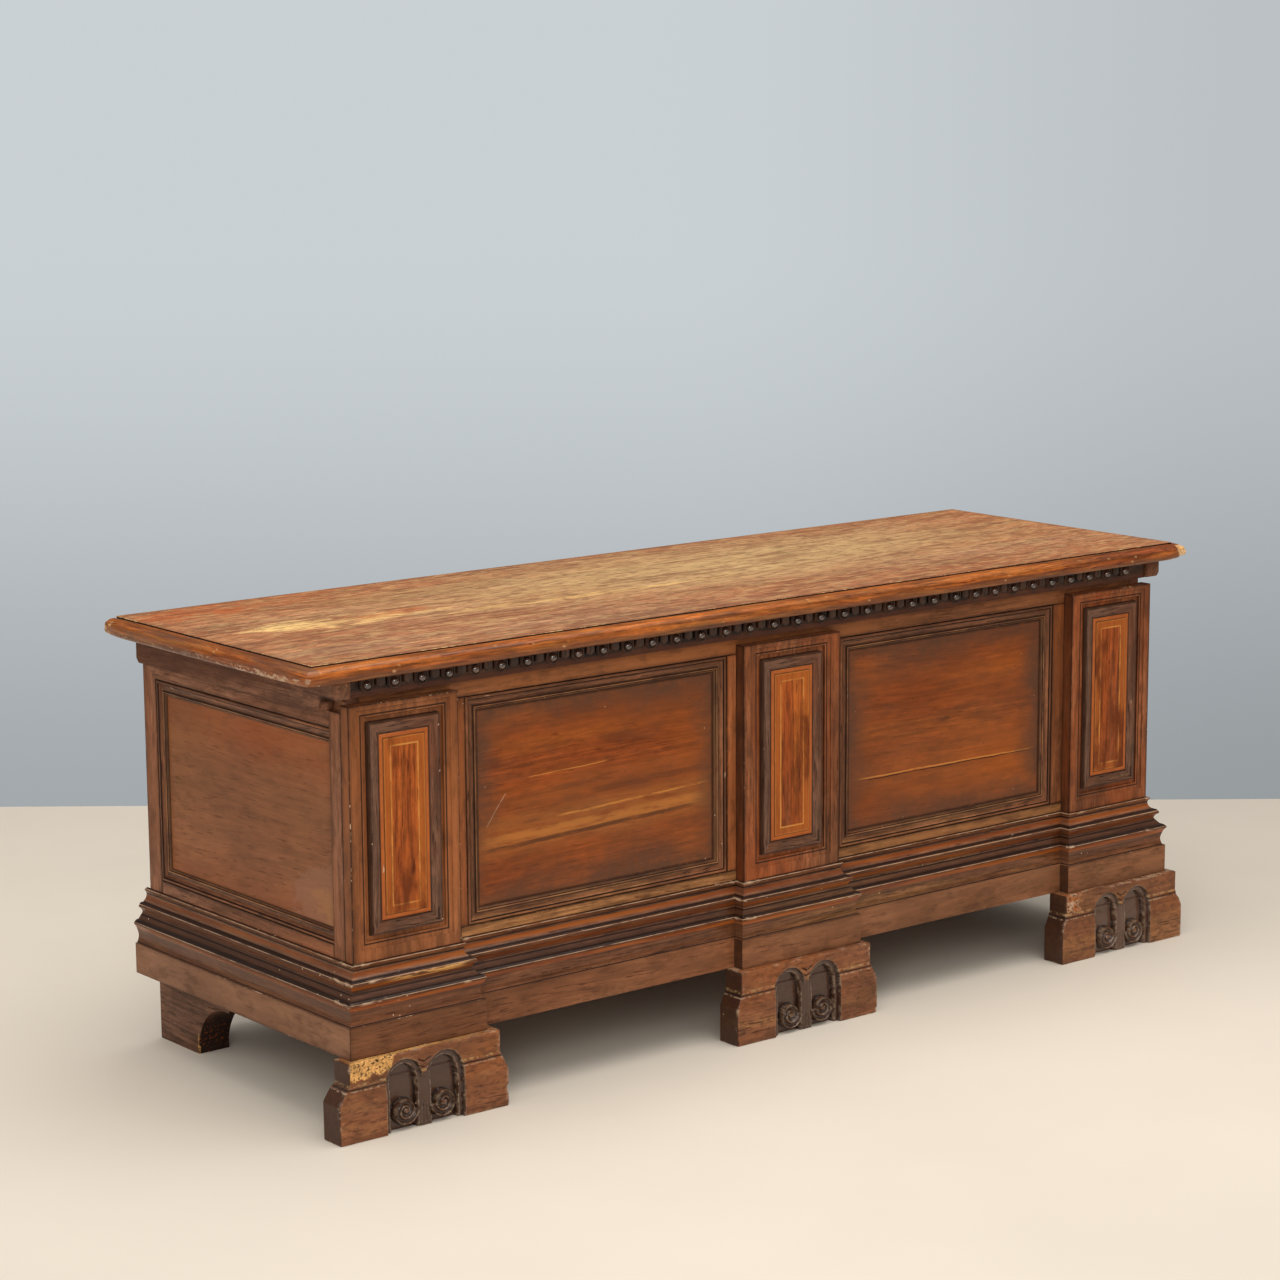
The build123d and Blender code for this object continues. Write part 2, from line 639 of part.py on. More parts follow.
# ---- plinth --------------------------------------------------------------------------------
def wall_path():
    """The wall line that the plinth follows, from the left rear corner to the right rear one."""
    left = MIDDLE_OFFSET - MIDDLE_HALF
    right = MIDDLE_OFFSET + MIDDLE_HALF
    return [
        (-X_WALL, Y_PLINTH_REAR),
        (-X_WALL, Y_FACE),
        (-X_END_PILASTER, Y_FACE),
        (-X_END_PILASTER, Y_FRAME),
        (left, Y_FRAME),
        (left, Y_FACE),
        (right, Y_FACE),
        (right, Y_FRAME),
        (X_END_PILASTER, Y_FRAME),
        (X_END_PILASTER, Y_FACE),
        (X_WALL, Y_FACE),
        (X_WALL, Y_PLINTH_REAR),
    ]


def plinth_courses():
    """Three sharp-lipped courses, mitred round the ends and every break in the front."""
    profile = outline(
        [
            (0, 0, 0),
            (COURSE_FOOT, 0, LOW_HOLLOW),
            (LOW_LIP_OUT, LOW_LIP_HEIGHT, 0),
            (LOW_LIP_OUT, LOW_LIP_HEIGHT + LOW_LIP_NOSE, 0),
            (MIDDLE_NECK_OUT, MIDDLE_NECK_HEIGHT, MIDDLE_NECK_SAG),
            (MIDDLE_LIP_OUT, MIDDLE_LIP_HEIGHT, 0),
            (MIDDLE_LIP_OUT, MIDDLE_LIP_HEIGHT + MIDDLE_LIP_NOSE, TOP_NECK_SAG),
            (TOP_NECK_OUT, TOP_NECK_HEIGHT, 0),
            (TOP_LIP_OUT, TOP_LIP_HEIGHT, 0),
            (TOP_LIP_OUT, TOP_LIP_HEIGHT + TOP_LIP_NOSE, 0),
            (0, COURSE_HEIGHT, 0),
        ]
    )
    runs = mitred_runs(profile, 2 * LOW_LIP_OUT, wall_path())
    lift = Pos(0, 0, Z_COURSE)
    runs = [lift * run for run in runs]
    return {
        "plinth_courses_left": runs[0],
        "plinth_courses_front": group(runs[1:-1]),
        "plinth_courses_right": runs[-1],
    }


def plinth_boards():
    """Four boards laid flat, mitred at the front corners, with the front's breaks in its edge."""
    left = MIDDLE_OFFSET - MIDDLE_HALF - PLINTH_PROUD
    right = MIDDLE_OFFSET + MIDDLE_HALF + PLINTH_PROUD
    end = X_END_PILASTER - PLINTH_PROUD
    out = Y_FACE - PLINTH_PROUD
    recess = Y_FRAME - PLINTH_PROUD
    inside = X_PLINTH - PLINTH_BOARD
    mitre = out + PLINTH_BOARD
    inner = recess + PLINTH_BOARD
    front = Polygon(
        (-X_PLINTH, out),
        (-end, out),
        (-end, recess),
        (left, recess),
        (left, out),
        (right, out),
        (right, recess),
        (end, recess),
        (end, out),
        (X_PLINTH, out),
        (inside, mitre),
        (inside, inner),
        (-inside, inner),
        (-inside, mitre),
        align=None,
    )
    side = Polygon(
        (-X_PLINTH, out),
        (-inside, mitre),
        (-inside, Y_PLINTH_REAR),
        (-X_PLINTH, Y_PLINTH_REAR),
        align=None,
    )
    rear = Y_PLINTH_REAR - PLINTH_BOARD
    level = Pos(0, 0, Z_PLINTH)
    pieces = left_and_right("plinth_board", level * prism(Plane.XY, side, PLINTH_HEIGHT))
    pieces["plinth_board_front"] = level * prism(Plane.XY, front, PLINTH_HEIGHT)
    pieces["plinth_board_rear"] = board(-inside, inside, rear, Y_PLINTH_REAR, Z_PLINTH, Z_COURSE)
    return pieces


# ---- feet ----------------------------------------------------------------------------------
def volute():
    """(body, ridge) of a spiral of half circles, each smaller than the one before.

    It starts at its right side and winds anticlockwise. The ridge follows it all the way in, and
    the body is what its first turn encloses.
    """
    centre, radius, side = 0.0, VOLUTE_RADIUS, 1
    outer, inner = [], []
    for _ in range(VOLUTE_HALF_TURNS):
        for arcs, size in ((outer, radius), (inner, radius - VOLUTE_RIDGE)):
            start = (centre + side * size, 0)
            top = (centre, side * size)
            end = (centre - side * size, 0)
            arcs.append(ThreePointArc(start, top, end))
        centre -= side * VOLUTE_TIGHTEN
        radius -= VOLUTE_TIGHTEN
        side = -side
    first = Line(outer[0] @ 0, inner[0] @ 0)
    last = Line(outer[-1] @ 1, inner[-1] @ 1)
    ridge = make_face(Wire([*outer, last, *inner, first]))
    turn_end = Line(outer[1] @ 1, outer[0] @ 0)
    return make_face(Wire([outer[0], outer[1], turn_end])), ridge


def front_foot(centre):
    """Two plain blocks with a shoulder, and between them niches, volutes and a small leaf."""
    half = FOOT_WIDTH / 2
    upper = half - FOOT_SIDE_INSET
    silhouette = Polygon(
        (-half, 0),
        (half, 0),
        (half, FOOT_SHOULDER_LOW),
        (upper, FOOT_SHOULDER_HIGH),
        (upper, FOOT_HEIGHT),
        (-upper, FOOT_HEIGHT),
        (-upper, FOOT_SHOULDER_HIGH),
        (-half, FOOT_SHOULDER_LOW),
        align=None,
    )
    foot = Pos(0, Y_FOOT + FOOT_THICKNESS, 0) * prism(Plane.XZ, silhouette, FOOT_THICKNESS)
    shoulder = Polygon(
        (Y_FOOT, FOOT_SHOULDER_LOW),
        (Y_FOOT + FOOT_FRONT_INSET, FOOT_SHOULDER_HIGH),
        (Y_FOOT + FOOT_FRONT_INSET, FOOT_HEIGHT),
        (Y_FOOT, FOOT_HEIGHT),
        align=None,
    )
    foot -= Pos(-half, 0, 0) * prism(Plane.YZ, shoulder, FOOT_WIDTH)

    carving = CARVING_WIDTH / 2
    stem = STEM_WIDTH / 2
    radius = (carving - stem) / 2
    middle = (carving + stem) / 2
    spring = CARVING_CROWN - radius
    for side in (-1, 1):
        for size, depth in ((radius, NICHE_RIM_DEPTH), (radius - NICHE_RIM, CARVING_DEPTH)):
            niche = Pos(side * middle, spring) * Circle(size)
            niche += Pos(side * middle, spring / 2) * Rectangle(2 * size, spring)
            foot -= Pos(0, Y_FOOT + depth, 0) * prism(Plane.XZ, niche, depth)
    bed = Y_FOOT + CARVING_DEPTH
    foot -= board(-carving, -stem, Y_FOOT, bed, 0, VOLUTE_HEIGHT)
    foot -= board(stem, carving, Y_FOOT, bed, 0, VOLUTE_HEIGHT)
    foot -= board(-stem, stem, Y_FOOT, Y_FOOT + VOLUTE_FACE_DEPTH, 0, VOLUTE_HEIGHT)

    body, ridge = volute()
    eye = RegularPolygon(VOLUTE_EYE_RADIUS, VOLUTE_EYE_SIDES)
    raised = CARVING_DEPTH - VOLUTE_FACE_DEPTH
    for side in (-1, 1):
        place = Pos(side * VOLUTE_OFFSET, bed, VOLUTE_HEIGHT)
        for face, height in (
            (body, CARVING_DEPTH - VOLUTE_BED_DEPTH),
            (ridge, raised),
            (eye, raised),
        ):
            spiral = face.mirror(Plane.YZ) if side > 0 else face
            foot += place * prism(Plane.XZ, spiral, height)
    lobe_half = LEAF_LOBE_WIDTH / 2
    lobe = Polygon(
        (0, 0),
        (-lobe_half, -LEAF_SHOULDER * LEAF_LENGTH),
        (0, -LEAF_LENGTH),
        (lobe_half, -LEAF_SHOULDER * LEAF_LENGTH),
        align=None,
    )
    for i in range(LEAF_LOBES):
        angle = (i - (LEAF_LOBES - 1) / 2) * LEAF_SPREAD
        leaf = Pos(0, LEAF_ROOT_HEIGHT) * Rot(0, 0, angle) * lobe
        foot += Pos(0, bed, 0) * prism(Plane.XZ, leaf, raised)
    return Pos(centre, 0, 0) * foot


def rear_foot():
    """The left rear foot: a bracket whose front edge is a concave quarter arch."""
    back = Y_BACK + REAR_FOOT_PROUD
    toe = back - REAR_FOOT_LENGTH
    crown = toe - REAR_ARCH_RADIUS
    rise = REAR_ARCH_RADIUS * (1 - math.sqrt(0.5))
    side = outline(
        [
            (back, 0, 0),
            (back, FOOT_HEIGHT, 0),
            (crown - REAR_FOOT_NIB, FOOT_HEIGHT, 0),
            (crown - REAR_FOOT_NIB, REAR_ARCH_SPRING + REAR_ARCH_RADIUS, 0),
            (crown, REAR_ARCH_SPRING + REAR_ARCH_RADIUS, rise),
            (toe, REAR_ARCH_SPRING, 0),
            (toe, 0, 0),
        ]
    )
    outer = -X_WALL + REAR_FOOT_INSET
    return Pos(outer, 0, 0) * prism(Plane.YZ, side, REAR_FOOT_THICKNESS)


def feet():
    """Three carved front feet and two rear brackets."""
    end = X_WALL + FOOT_OVERHANG - FOOT_WIDTH / 2
    pieces = {
        "front_foot_left": front_foot(-end),
        "front_foot_middle": front_foot(MIDDLE_OFFSET),
        "front_foot_right": front_foot(end),
    }
    pieces.update(left_and_right("rear_foot", rear_foot()))
    return pieces


# ---- hinges --------------------------------------------------------------------------------
def knuckle(x0, x1):
    """A bored barrel on the hinge's axis between two places along X."""
    bore = HINGE_PIN_RADIUS + HINGE_PIN_CLEARANCE
    ring = Circle(HINGE_BARREL_RADIUS) - Circle(bore)
    return Pos(x0, HINGE_Y, HINGE_Z) * prism(Plane.YZ, ring, x1 - x0)


def hinge(centre):
    """(back leaf, lid leaf, pin) of one hinge, with the lid's knuckle right of the back's."""
    left, right = centre - HINGE_WIDTH / 2, centre + HINGE_WIDTH / 2
    back_knuckle_end = centre - HINGE_KNUCKLE_GAP / 2
    lid_knuckle_start = centre + HINGE_KNUCKLE_GAP / 2
    bore = HINGE_PIN_RADIUS + HINGE_PIN_CLEARANCE
    drill = Pos(left, HINGE_Y, HINGE_Z) * prism(Plane.YZ, Circle(bore), HINGE_WIDTH)

    leaf_foot = HINGE_Z - HINGE_BACK_LEAF_HEIGHT
    back_leaf = board(left, right, Y_BACK, Y_BACK + HINGE_LEAF, leaf_foot, HINGE_Z)
    back_leaf += knuckle(left, back_knuckle_end)
    room = HINGE_BARREL_RADIUS + HINGE_BACK_CLEARANCE
    back_leaf -= board(
        back_knuckle_end, right, Y_BACK, Y_BACK + room, HINGE_Z - room, HINGE_Z + room
    )

    leaf_top = Z_RIM + HINGE_LEAF
    start = Y_BACK - HINGE_LID_LEAF_LENGTH
    lid_leaf = board(left, right, start, Y_BACK, Z_RIM, leaf_top)
    lid_leaf += board(lid_knuckle_start, right, Y_BACK, HINGE_Y, Z_RIM, leaf_top)
    lid_leaf += knuckle(lid_knuckle_start, right)
    lid_leaf -= drill

    pin_length = HINGE_WIDTH + 2 * HINGE_PIN_END
    pin = prism(Plane.YZ, Circle(HINGE_PIN_RADIUS), pin_length)
    return back_leaf - drill, lid_leaf, Pos(left - HINGE_PIN_END, HINGE_Y, HINGE_Z) * pin


def hinges_and_lid():
    """Both hinges, and the lid board with a shallow seat for each lid leaf."""
    lid = board(-X_LID, X_LID, Y_LID_FRONT, Y_LID_REAR, Z_RIM, Z_RIM + LID_THICKNESS)
    backs, leaves, pins = [], [], []
    for centre in (-HINGE_OFFSET, HINGE_OFFSET):
        back_leaf, lid_leaf, pin = hinge(centre)
        backs.append(back_leaf)
        leaves.append(lid_leaf)
        pins.append(pin)
        half = HINGE_WIDTH / 2
        start = Y_BACK - HINGE_LID_LEAF_LENGTH
        lid -= board(
            centre - half, centre + half, start, Y_LID_REAR, Z_RIM, Z_RIM + HINGE_LEAF
        )
    return {
        "lid_board": lid,
        "hinge_back_leaves": group(backs),
        "hinge_lid_leaves": group(leaves),
        "hinge_pins": group(pins),
    }


# ---- the whole chest -----------------------------------------------------------------------
def chest():
    """Every node of the chest by name."""
    nodes = {}
    nodes.update(hinges_and_lid())
    nodes.update(lid_moulding())
    nodes.update(left_and_right("lid_cleat", lid_cleat()))
    nodes["pearl_strip"] = pearl_strip()
    nodes.update(front_frame())
    nodes.update(front_panel_mouldings())
    for name, piece in side_frame().items():
        nodes.update(left_and_right(name, piece))
    nodes.update(back_and_floor())
    for name, centre, width in pilasters():
        nodes.update(pilaster(name, centre, width))
    nodes.update(plinth_courses())
    nodes.update(plinth_boards())
    nodes.update(feet())
    return nodes


def main():
    os.makedirs("parts", exist_ok=True)
    for name, node in chest().items():
        export_step(node, f"parts/{name}.step")


main()
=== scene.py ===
"""The looks of a walnut cassone: worn mouldings, carved feet, pearls, patina, floor and light.

Metres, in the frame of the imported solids: X runs along the chest, Y from front to back, Z up.
"""

import math

import bpy
import numpy as np
from bpy.props import FloatProperty, FloatVectorProperty, PointerProperty
from mathutils import Matrix, Vector


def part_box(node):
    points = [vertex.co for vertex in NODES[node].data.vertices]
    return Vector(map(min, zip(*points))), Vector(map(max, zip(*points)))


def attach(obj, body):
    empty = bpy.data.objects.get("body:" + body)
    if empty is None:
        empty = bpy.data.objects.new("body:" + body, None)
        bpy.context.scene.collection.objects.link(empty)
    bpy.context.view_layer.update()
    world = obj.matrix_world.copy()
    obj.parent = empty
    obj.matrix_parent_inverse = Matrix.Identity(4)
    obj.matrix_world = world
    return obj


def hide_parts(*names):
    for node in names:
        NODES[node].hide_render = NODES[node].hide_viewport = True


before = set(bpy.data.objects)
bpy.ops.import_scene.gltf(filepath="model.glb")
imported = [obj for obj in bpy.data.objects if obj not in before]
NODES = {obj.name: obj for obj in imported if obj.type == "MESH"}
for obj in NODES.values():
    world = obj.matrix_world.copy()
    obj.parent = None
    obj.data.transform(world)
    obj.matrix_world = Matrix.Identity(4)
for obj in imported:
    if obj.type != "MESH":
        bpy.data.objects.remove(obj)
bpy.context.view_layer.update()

bl_info = {
    "name": "Cassone looks",
    "version": (1, 0, 0),
    "blender": (4, 5, 0),
    "location": "View3D > Sidebar > Cassone",
    "description": "Dresses the solids of a walnut cassone with worn mouldings, carving and patina",
    "category": "Object",
}

MM = 0.001
SIDES = ("left", "right")
PLACES = ("left", "middle", "right")


# ---- sizes taken from the solids -----------------------------------------------------------
# The strip between the two steps of a pilaster's sunk field.
SUNK_STEP = 0.011


def corners(name):
    """(lowest, highest) corner of a node as arrays."""
    low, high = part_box(name)
    return np.array(low), np.array(high)


LID_LOW, LID_HIGH = corners("lid_board")
LID_NOSE = 0.0225  # how far the edge moulding stands out from the lid board
FASCIA_TOP = corners("plinth_board_front")[1][2]


# ---- noise ---------------------------------------------------------------------------------
def smooth_noise(points, cell, seed):
    """Values from -1 to 1 that change smoothly over about one cell.

    A random value stands at each corner of a cubic lattice, and each point blends the eight
    corners round it with weights that ease in and out. Cell is one size or one for each axis.
    """
    table = np.random.default_rng(seed).uniform(-1, 1, (32, 32, 32))
    place = np.asarray(points, float) / np.asarray(cell, float)
    base = np.floor(place).astype(int)
    part = place - base
    part = part * part * (3 - 2 * part)
    total = np.zeros(place.shape[:-1])
    for corner in np.ndindex(2, 2, 2):
        weight = np.prod(np.where(corner, part, 1 - part), axis=-1)
        x, y, z = np.moveaxis((base + corner) % 32, -1, 0)
        total += weight * table[x, y, z]
    return total


def rough_noise(points, cell, seed, octaves=3):
    """Smooth noise added to finer copies of itself, each half the size and half the height."""
    total = 0
    for i in range(octaves):
        total = total + smooth_noise(points, np.asarray(cell) / 2**i, seed + i) / 2**i
    return total / (2 - 0.5 ** (octaves - 1))


def ease(value, low, high):
    """0 below low, 1 above high, and an S curve between."""
    part = np.clip((value - low) / (high - low), 0, 1)
    return part * part * (3 - 2 * part)


# ---- surfaces ------------------------------------------------------------------------------
def bent(points, steps=6):
    """A closed outline from (across, up, sag) points in millimetres, as metres.

    A positive sag bends the edge that leaves its point to the left of that edge's direction,
    into steps chords of one circular arc.
    """
    outline = []
    for here, there in zip(points, points[1:] + points[:1]):
        start, end, sag = np.array(here[:2]), np.array(there[:2]), here[2]
        outline.append(start)
        if not sag:
            continue
        chord = end - start
        length = np.hypot(*chord)
        left = np.array([-chord[1], chord[0]]) / length
        half_angle = 2 * math.atan(2 * sag / length)
        radius = length / 2 / math.sin(half_angle)
        for i in range(1, steps):
            angle = half_angle * (2 * i / steps - 1)
            along = radius * math.sin(angle)
            rise = radius * (math.cos(angle) - math.cos(half_angle))
            outline.append((start + end) / 2 + chord / length * along + left * rise)
    return np.array(outline) * MM


def spaced(outline, step):
    """A closed outline with more points, so that no two neighbours are further apart than step."""
    points = []
    for here, there in zip(outline, np.roll(outline, -1, axis=0)):
        count = max(1, math.ceil(np.hypot(*(there - here)) / step))
        parts = np.arange(count)[:, None] / count
        points.append(here + (there - here) * parts)
    return np.concatenate(points)


def grid_faces(rows, columns, ring=True, caps=True, flip=False):
    """Faces over a grid of points: one for each four neighbours, and one for each capped end.

    With ring, the last column joins the first. A face looks the way of column direction cross
    row direction, or the other way with flip.
    """
    index = np.arange(rows * columns).reshape(rows, columns)
    across = np.roll(index, -1, axis=1) if ring else index[:, 1:]
    here = index if ring else index[:, :-1]
    quads = np.stack([here[:-1], across[:-1], across[1:], here[1:]], axis=-1).reshape(-1, 4)
    faces = quads.tolist()
    if caps:
        faces += [index[0][::-1].tolist(), index[-1].tolist()]
    return [face[::-1] for face in faces] if flip else faces


def surface(name, points, faces, uv=None, attributes=None, sharp=40):
    """An object from points and faces, with values stored on its points."""
    mesh = bpy.data.meshes.new(name)
    mesh.from_pydata(points.reshape(-1, 3), [], faces)
    mesh.shade_smooth()
    mesh.set_sharp_from_angle(angle=math.radians(sharp))
    if uv is not None:
        layer = mesh.uv_layers.new(name="grain")
        corner = np.empty(len(mesh.loops), dtype=np.int32)
        mesh.loops.foreach_get("vertex_index", corner)
        layer.uv.foreach_set("vector", uv.reshape(-1, 2)[corner].astype(np.float32).ravel())
    for key, values in (attributes or {}).items():
        layer = mesh.attributes.new(key, "FLOAT", "POINT")
        layer.data.foreach_set("value", np.asarray(values, np.float32).ravel())
    piece = bpy.data.objects.new(name, mesh)
    bpy.context.scene.collection.objects.link(piece)
    return piece


def repeated(name, points, places, ring=True, caps=True):
    """One object that holds the same small grid of points at many places."""
    rows, columns = points.shape[:2]
    faces = np.array(grid_faces(rows, columns, ring, False))
    count = rows * columns
    ends = grid_faces(rows, columns, ring, True)[len(faces):] if caps else []
    everything = []
    for i in range(len(places)):
        everything += (faces + i * count).tolist()
        everything += [[corner + i * count for corner in end] for end in ends]
    spread = points.reshape(1, -1, 3) + np.asarray(places)[:, None, :]
    return surface(name, spread, everything)


def mitre_offsets(path, closed):
    """For each corner of a path in the XY plane, how far one metre of projection moves it.

    Projection goes to the right of the path. At a corner it follows the line that halves it.
    """
    path = np.asarray(path, float)
    way = np.roll(path, -1, axis=0) - path
    way = way / np.hypot(way[:, 0], way[:, 1])[:, None]
    normal = np.stack([way[:, 1], -way[:, 0]], axis=1)
    before = np.roll(normal, 1, axis=0)
    offsets = (before + normal) / (1 + np.sum(before * normal, axis=1))[:, None]
    if not closed:
        offsets[0], offsets[-1] = normal[0], normal[-2]
    return offsets


def bulge(outline, window=0.0022):
    """For each point of a closed outline, how far it stands out from the chord round it.

    The chord joins the points one window before and one window after, measured along the
    outline. Arrises and rounds give positive values, quirks and hollows negative ones.
    """
    loop = np.concatenate([outline, outline[:1]])
    run = np.concatenate([[0], np.cumsum(np.hypot(*np.diff(loop, axis=0).T))])

    def at(distance):
        return np.stack([np.interp(distance, run, axis, period=run[-1]) for axis in loop.T], 1)

    before, after = at(run[:-1] - window), at(run[:-1] + window)
    chord, away = after - before, outline - before
    length = np.maximum(np.hypot(chord[:, 0], chord[:, 1]), 1e-6)
    return (chord[:, 1] * away[:, 0] - chord[:, 0] * away[:, 1]) / length


def moulding(name, path, outline, wear, closed=False, step=0.006, place=None, sharp=40):
    """A moulding: an outline of (projection, height) carried along a path with mitred corners.

    Every point of a straight stretch lies on the line between the mitres at its two ends. Wear
    takes the points as (projection, height, place) arrays and gives how far the projection and
    the height shrink, and a mask of bare wood. Place turns the finished points into the frame.
    The attributes bare, crest, hollow and across steer the material.
    """
    path = np.asarray(path, float)
    bulges = bulge(outline)
    offsets = mitre_offsets(path, closed)
    stretches = len(path) if closed else len(path) - 1
    strips = []
    travelled = 0.0
    girth = np.concatenate([[0], np.cumsum(np.hypot(*np.diff(outline, axis=0).T))])
    for i in range(stretches):
        j = (i + 1) % len(path)
        length = np.hypot(*(path[j] - path[i]))
        count = max(2, math.ceil(length / step) + 1)
        part = np.linspace(0, 1, count)[:, None, None]

        def at(projection):
            first = path[i] + offsets[i] * projection[..., None]
            last = path[j] + offsets[j] * projection[..., None]
            return first + (last - first) * part

        projection = np.broadcast_to(outline[:, 0], (count, len(outline)))
        height = np.broadcast_to(outline[:, 1], (count, len(outline)))
        flat = at(projection)
        where = np.concatenate([flat, height[..., None]], axis=2)
        if place is not None:
            where = place(where)
        inward, down, bare = wear(projection, height, where)
        flat = at(projection - inward)
        points = np.concatenate([flat, (height - down)[..., None]], axis=2)
        if place is not None:
            points = place(points)
        along = np.broadcast_to(travelled + length * part[..., 0], bare.shape)
        uv = np.stack([along, np.broadcast_to(girth, bare.shape)], axis=2)
        attributes = {
            "bare": bare,
            "crest": np.broadcast_to(ease(bulges, 0.0001, 0.0007), bare.shape),
            "hollow": np.broadcast_to(ease(-bulges, 0.0001, 0.0006), bare.shape),
            "across": projection,
        }
        strips.append((points, uv, attributes))
        travelled += length
    pieces = []
    for i, (points, uv, attributes) in enumerate(strips):
        label = name if stretches == 1 else f"{name}_{i + 1}"
        faces = grid_faces(*points.shape[:2], flip=True)
        pieces.append(surface(label, points, faces, uv, attributes, sharp))
    return pieces


def ring_path(low_x, high_x, low_z, high_z):
    """The corners of an opening, in the order that puts its middle on the path's right."""
    return [(low_x, low_z), (low_x, high_z), (high_x, high_z), (high_x, low_z)]


def onto_front(y):
    """Stands a flat drawing of (x, z, height) up on a front plane at y, facing -Y."""

    def place(points):
        x, z, height = np.moveaxis(points, -1, 0)
        return np.stack([x, y - height, z], axis=-1)

    return place


def onto_end(x, side):
    """Stands a flat drawing of (along, z, height) up on an end's plane, facing outwards."""

    def place(points):
        along, z, height = np.moveaxis(points, -1, 0)
        return np.stack([x + side * height, side * along, z], axis=-1)

    return place


# ---- node trees ----------------------------------------------------------------------------
class Sheet:
    """Adds nodes to one tree; a number, a colour or another node's socket feeds each input."""

    def __init__(self, tree):
        self.tree = tree

    def add(self, kind, inputs=None, **settings):
        node = self.tree.nodes.new(kind)
        for key, value in settings.items():
            setattr(node, key, value)
        for key, value in (inputs or {}).items():
            socket = node.inputs[key]
            if isinstance(value, bpy.types.NodeSocket):
                self.tree.links.new(value, socket)
            elif value is not None:
                is_colour = socket.type == "RGBA" and len(value) == 3
                socket.default_value = (*value, 1.0) if is_colour else value
        return node

    def math(self, operation, a, b=0.0, c=0.0, clamp=False):
        settings = {"operation": operation, "use_clamp": clamp}
        return self.add("ShaderNodeMath", {0: a, 1: b, 2: c}, **settings).outputs[0]

    def vector(self, operation, a, b=(0.0, 0.0, 0.0)):
        return self.add("ShaderNodeVectorMath", {0: a, 1: b}, operation=operation).outputs[0]

    def times(self, *values):
        """The product of all the values."""
        result = values[0]
        for value in values[1:]:
            result = self.math("MULTIPLY", result, value)
        return result

    def apart(self, a, b):
        """The distance between two numbers."""
        return self.math("ABSOLUTE", self.math("SUBTRACT", a, b))

    def parts(self, vector):
        return self.add("ShaderNodeSeparateXYZ", {0: vector}).outputs

    def reach(self, vector):
        """The length of a vector."""
        return self.add("ShaderNodeVectorMath", {0: vector}, operation="LENGTH").outputs["Value"]

    def dot(self, a, b):
        node = self.add("ShaderNodeVectorMath", {0: a, 1: b}, operation="DOT_PRODUCT")
        return node.outputs["Value"]

    def grey(self, level):
        return self.add("ShaderNodeCombineColor", {0: level, 1: level, 2: level}).outputs[0]

    def mix(self, amount, a, b, blend="MIX"):
        inputs = {0: amount, 6: a, 7: b}
        node = self.add("ShaderNodeMix", inputs, data_type="RGBA", blend_type=blend)
        return node.outputs[2]

    def band(self, value, low, high, bottom=0.0, top=1.0):
        limits = {"From Min": low, "From Max": high, "To Min": bottom, "To Max": top}
        inputs = {"Value": value, **limits}
        return self.add("ShaderNodeMapRange", inputs, interpolation_type="SMOOTHSTEP").outputs[0]

    def noise(self, vector, scale, detail=2.0, roughness=0.5, distortion=0.0):
        inputs = {
            "Vector": self.vector("MULTIPLY", vector, scale) if isinstance(scale, tuple) else vector,
            "Scale": 1.0 if isinstance(scale, tuple) else scale,
            "Detail": detail,
            "Roughness": roughness,
            "Distortion": distortion,
        }
        return self.add("ShaderNodeTexNoise", inputs).outputs[0]

    def group(self, name, **inputs):
        inputs = {key.replace("_", " "): value for key, value in inputs.items()}
        return self.add("ShaderNodeGroup", inputs, node_tree=GROUPS[name]).outputs


GROUPS = {}
FLOAT, COLOUR, VECTOR = "NodeSocketFloat", "NodeSocketColor", "NodeSocketVector"


def start_group(name, inputs, outputs):
    """(sheet, input sockets, output node) of a new node group with named sockets."""
    tree = bpy.data.node_groups.new(name, "ShaderNodeTree")
    for label, kind in outputs:
        tree.interface.new_socket(label, in_out="OUTPUT", socket_type=kind)
    for label, kind in inputs:
        tree.interface.new_socket(label, in_out="INPUT", socket_type=kind)
    sheet = Sheet(tree)
    given = sheet.add("NodeGroupInput").outputs
    result = sheet.add("NodeGroupOutput")
    GROUPS[name] = tree
    return sheet, given, result


def finish_group(sheet, result, **values):
    for key, socket in values.items():
        sheet.tree.links.new(socket, result.inputs[key.replace("_", " ")])


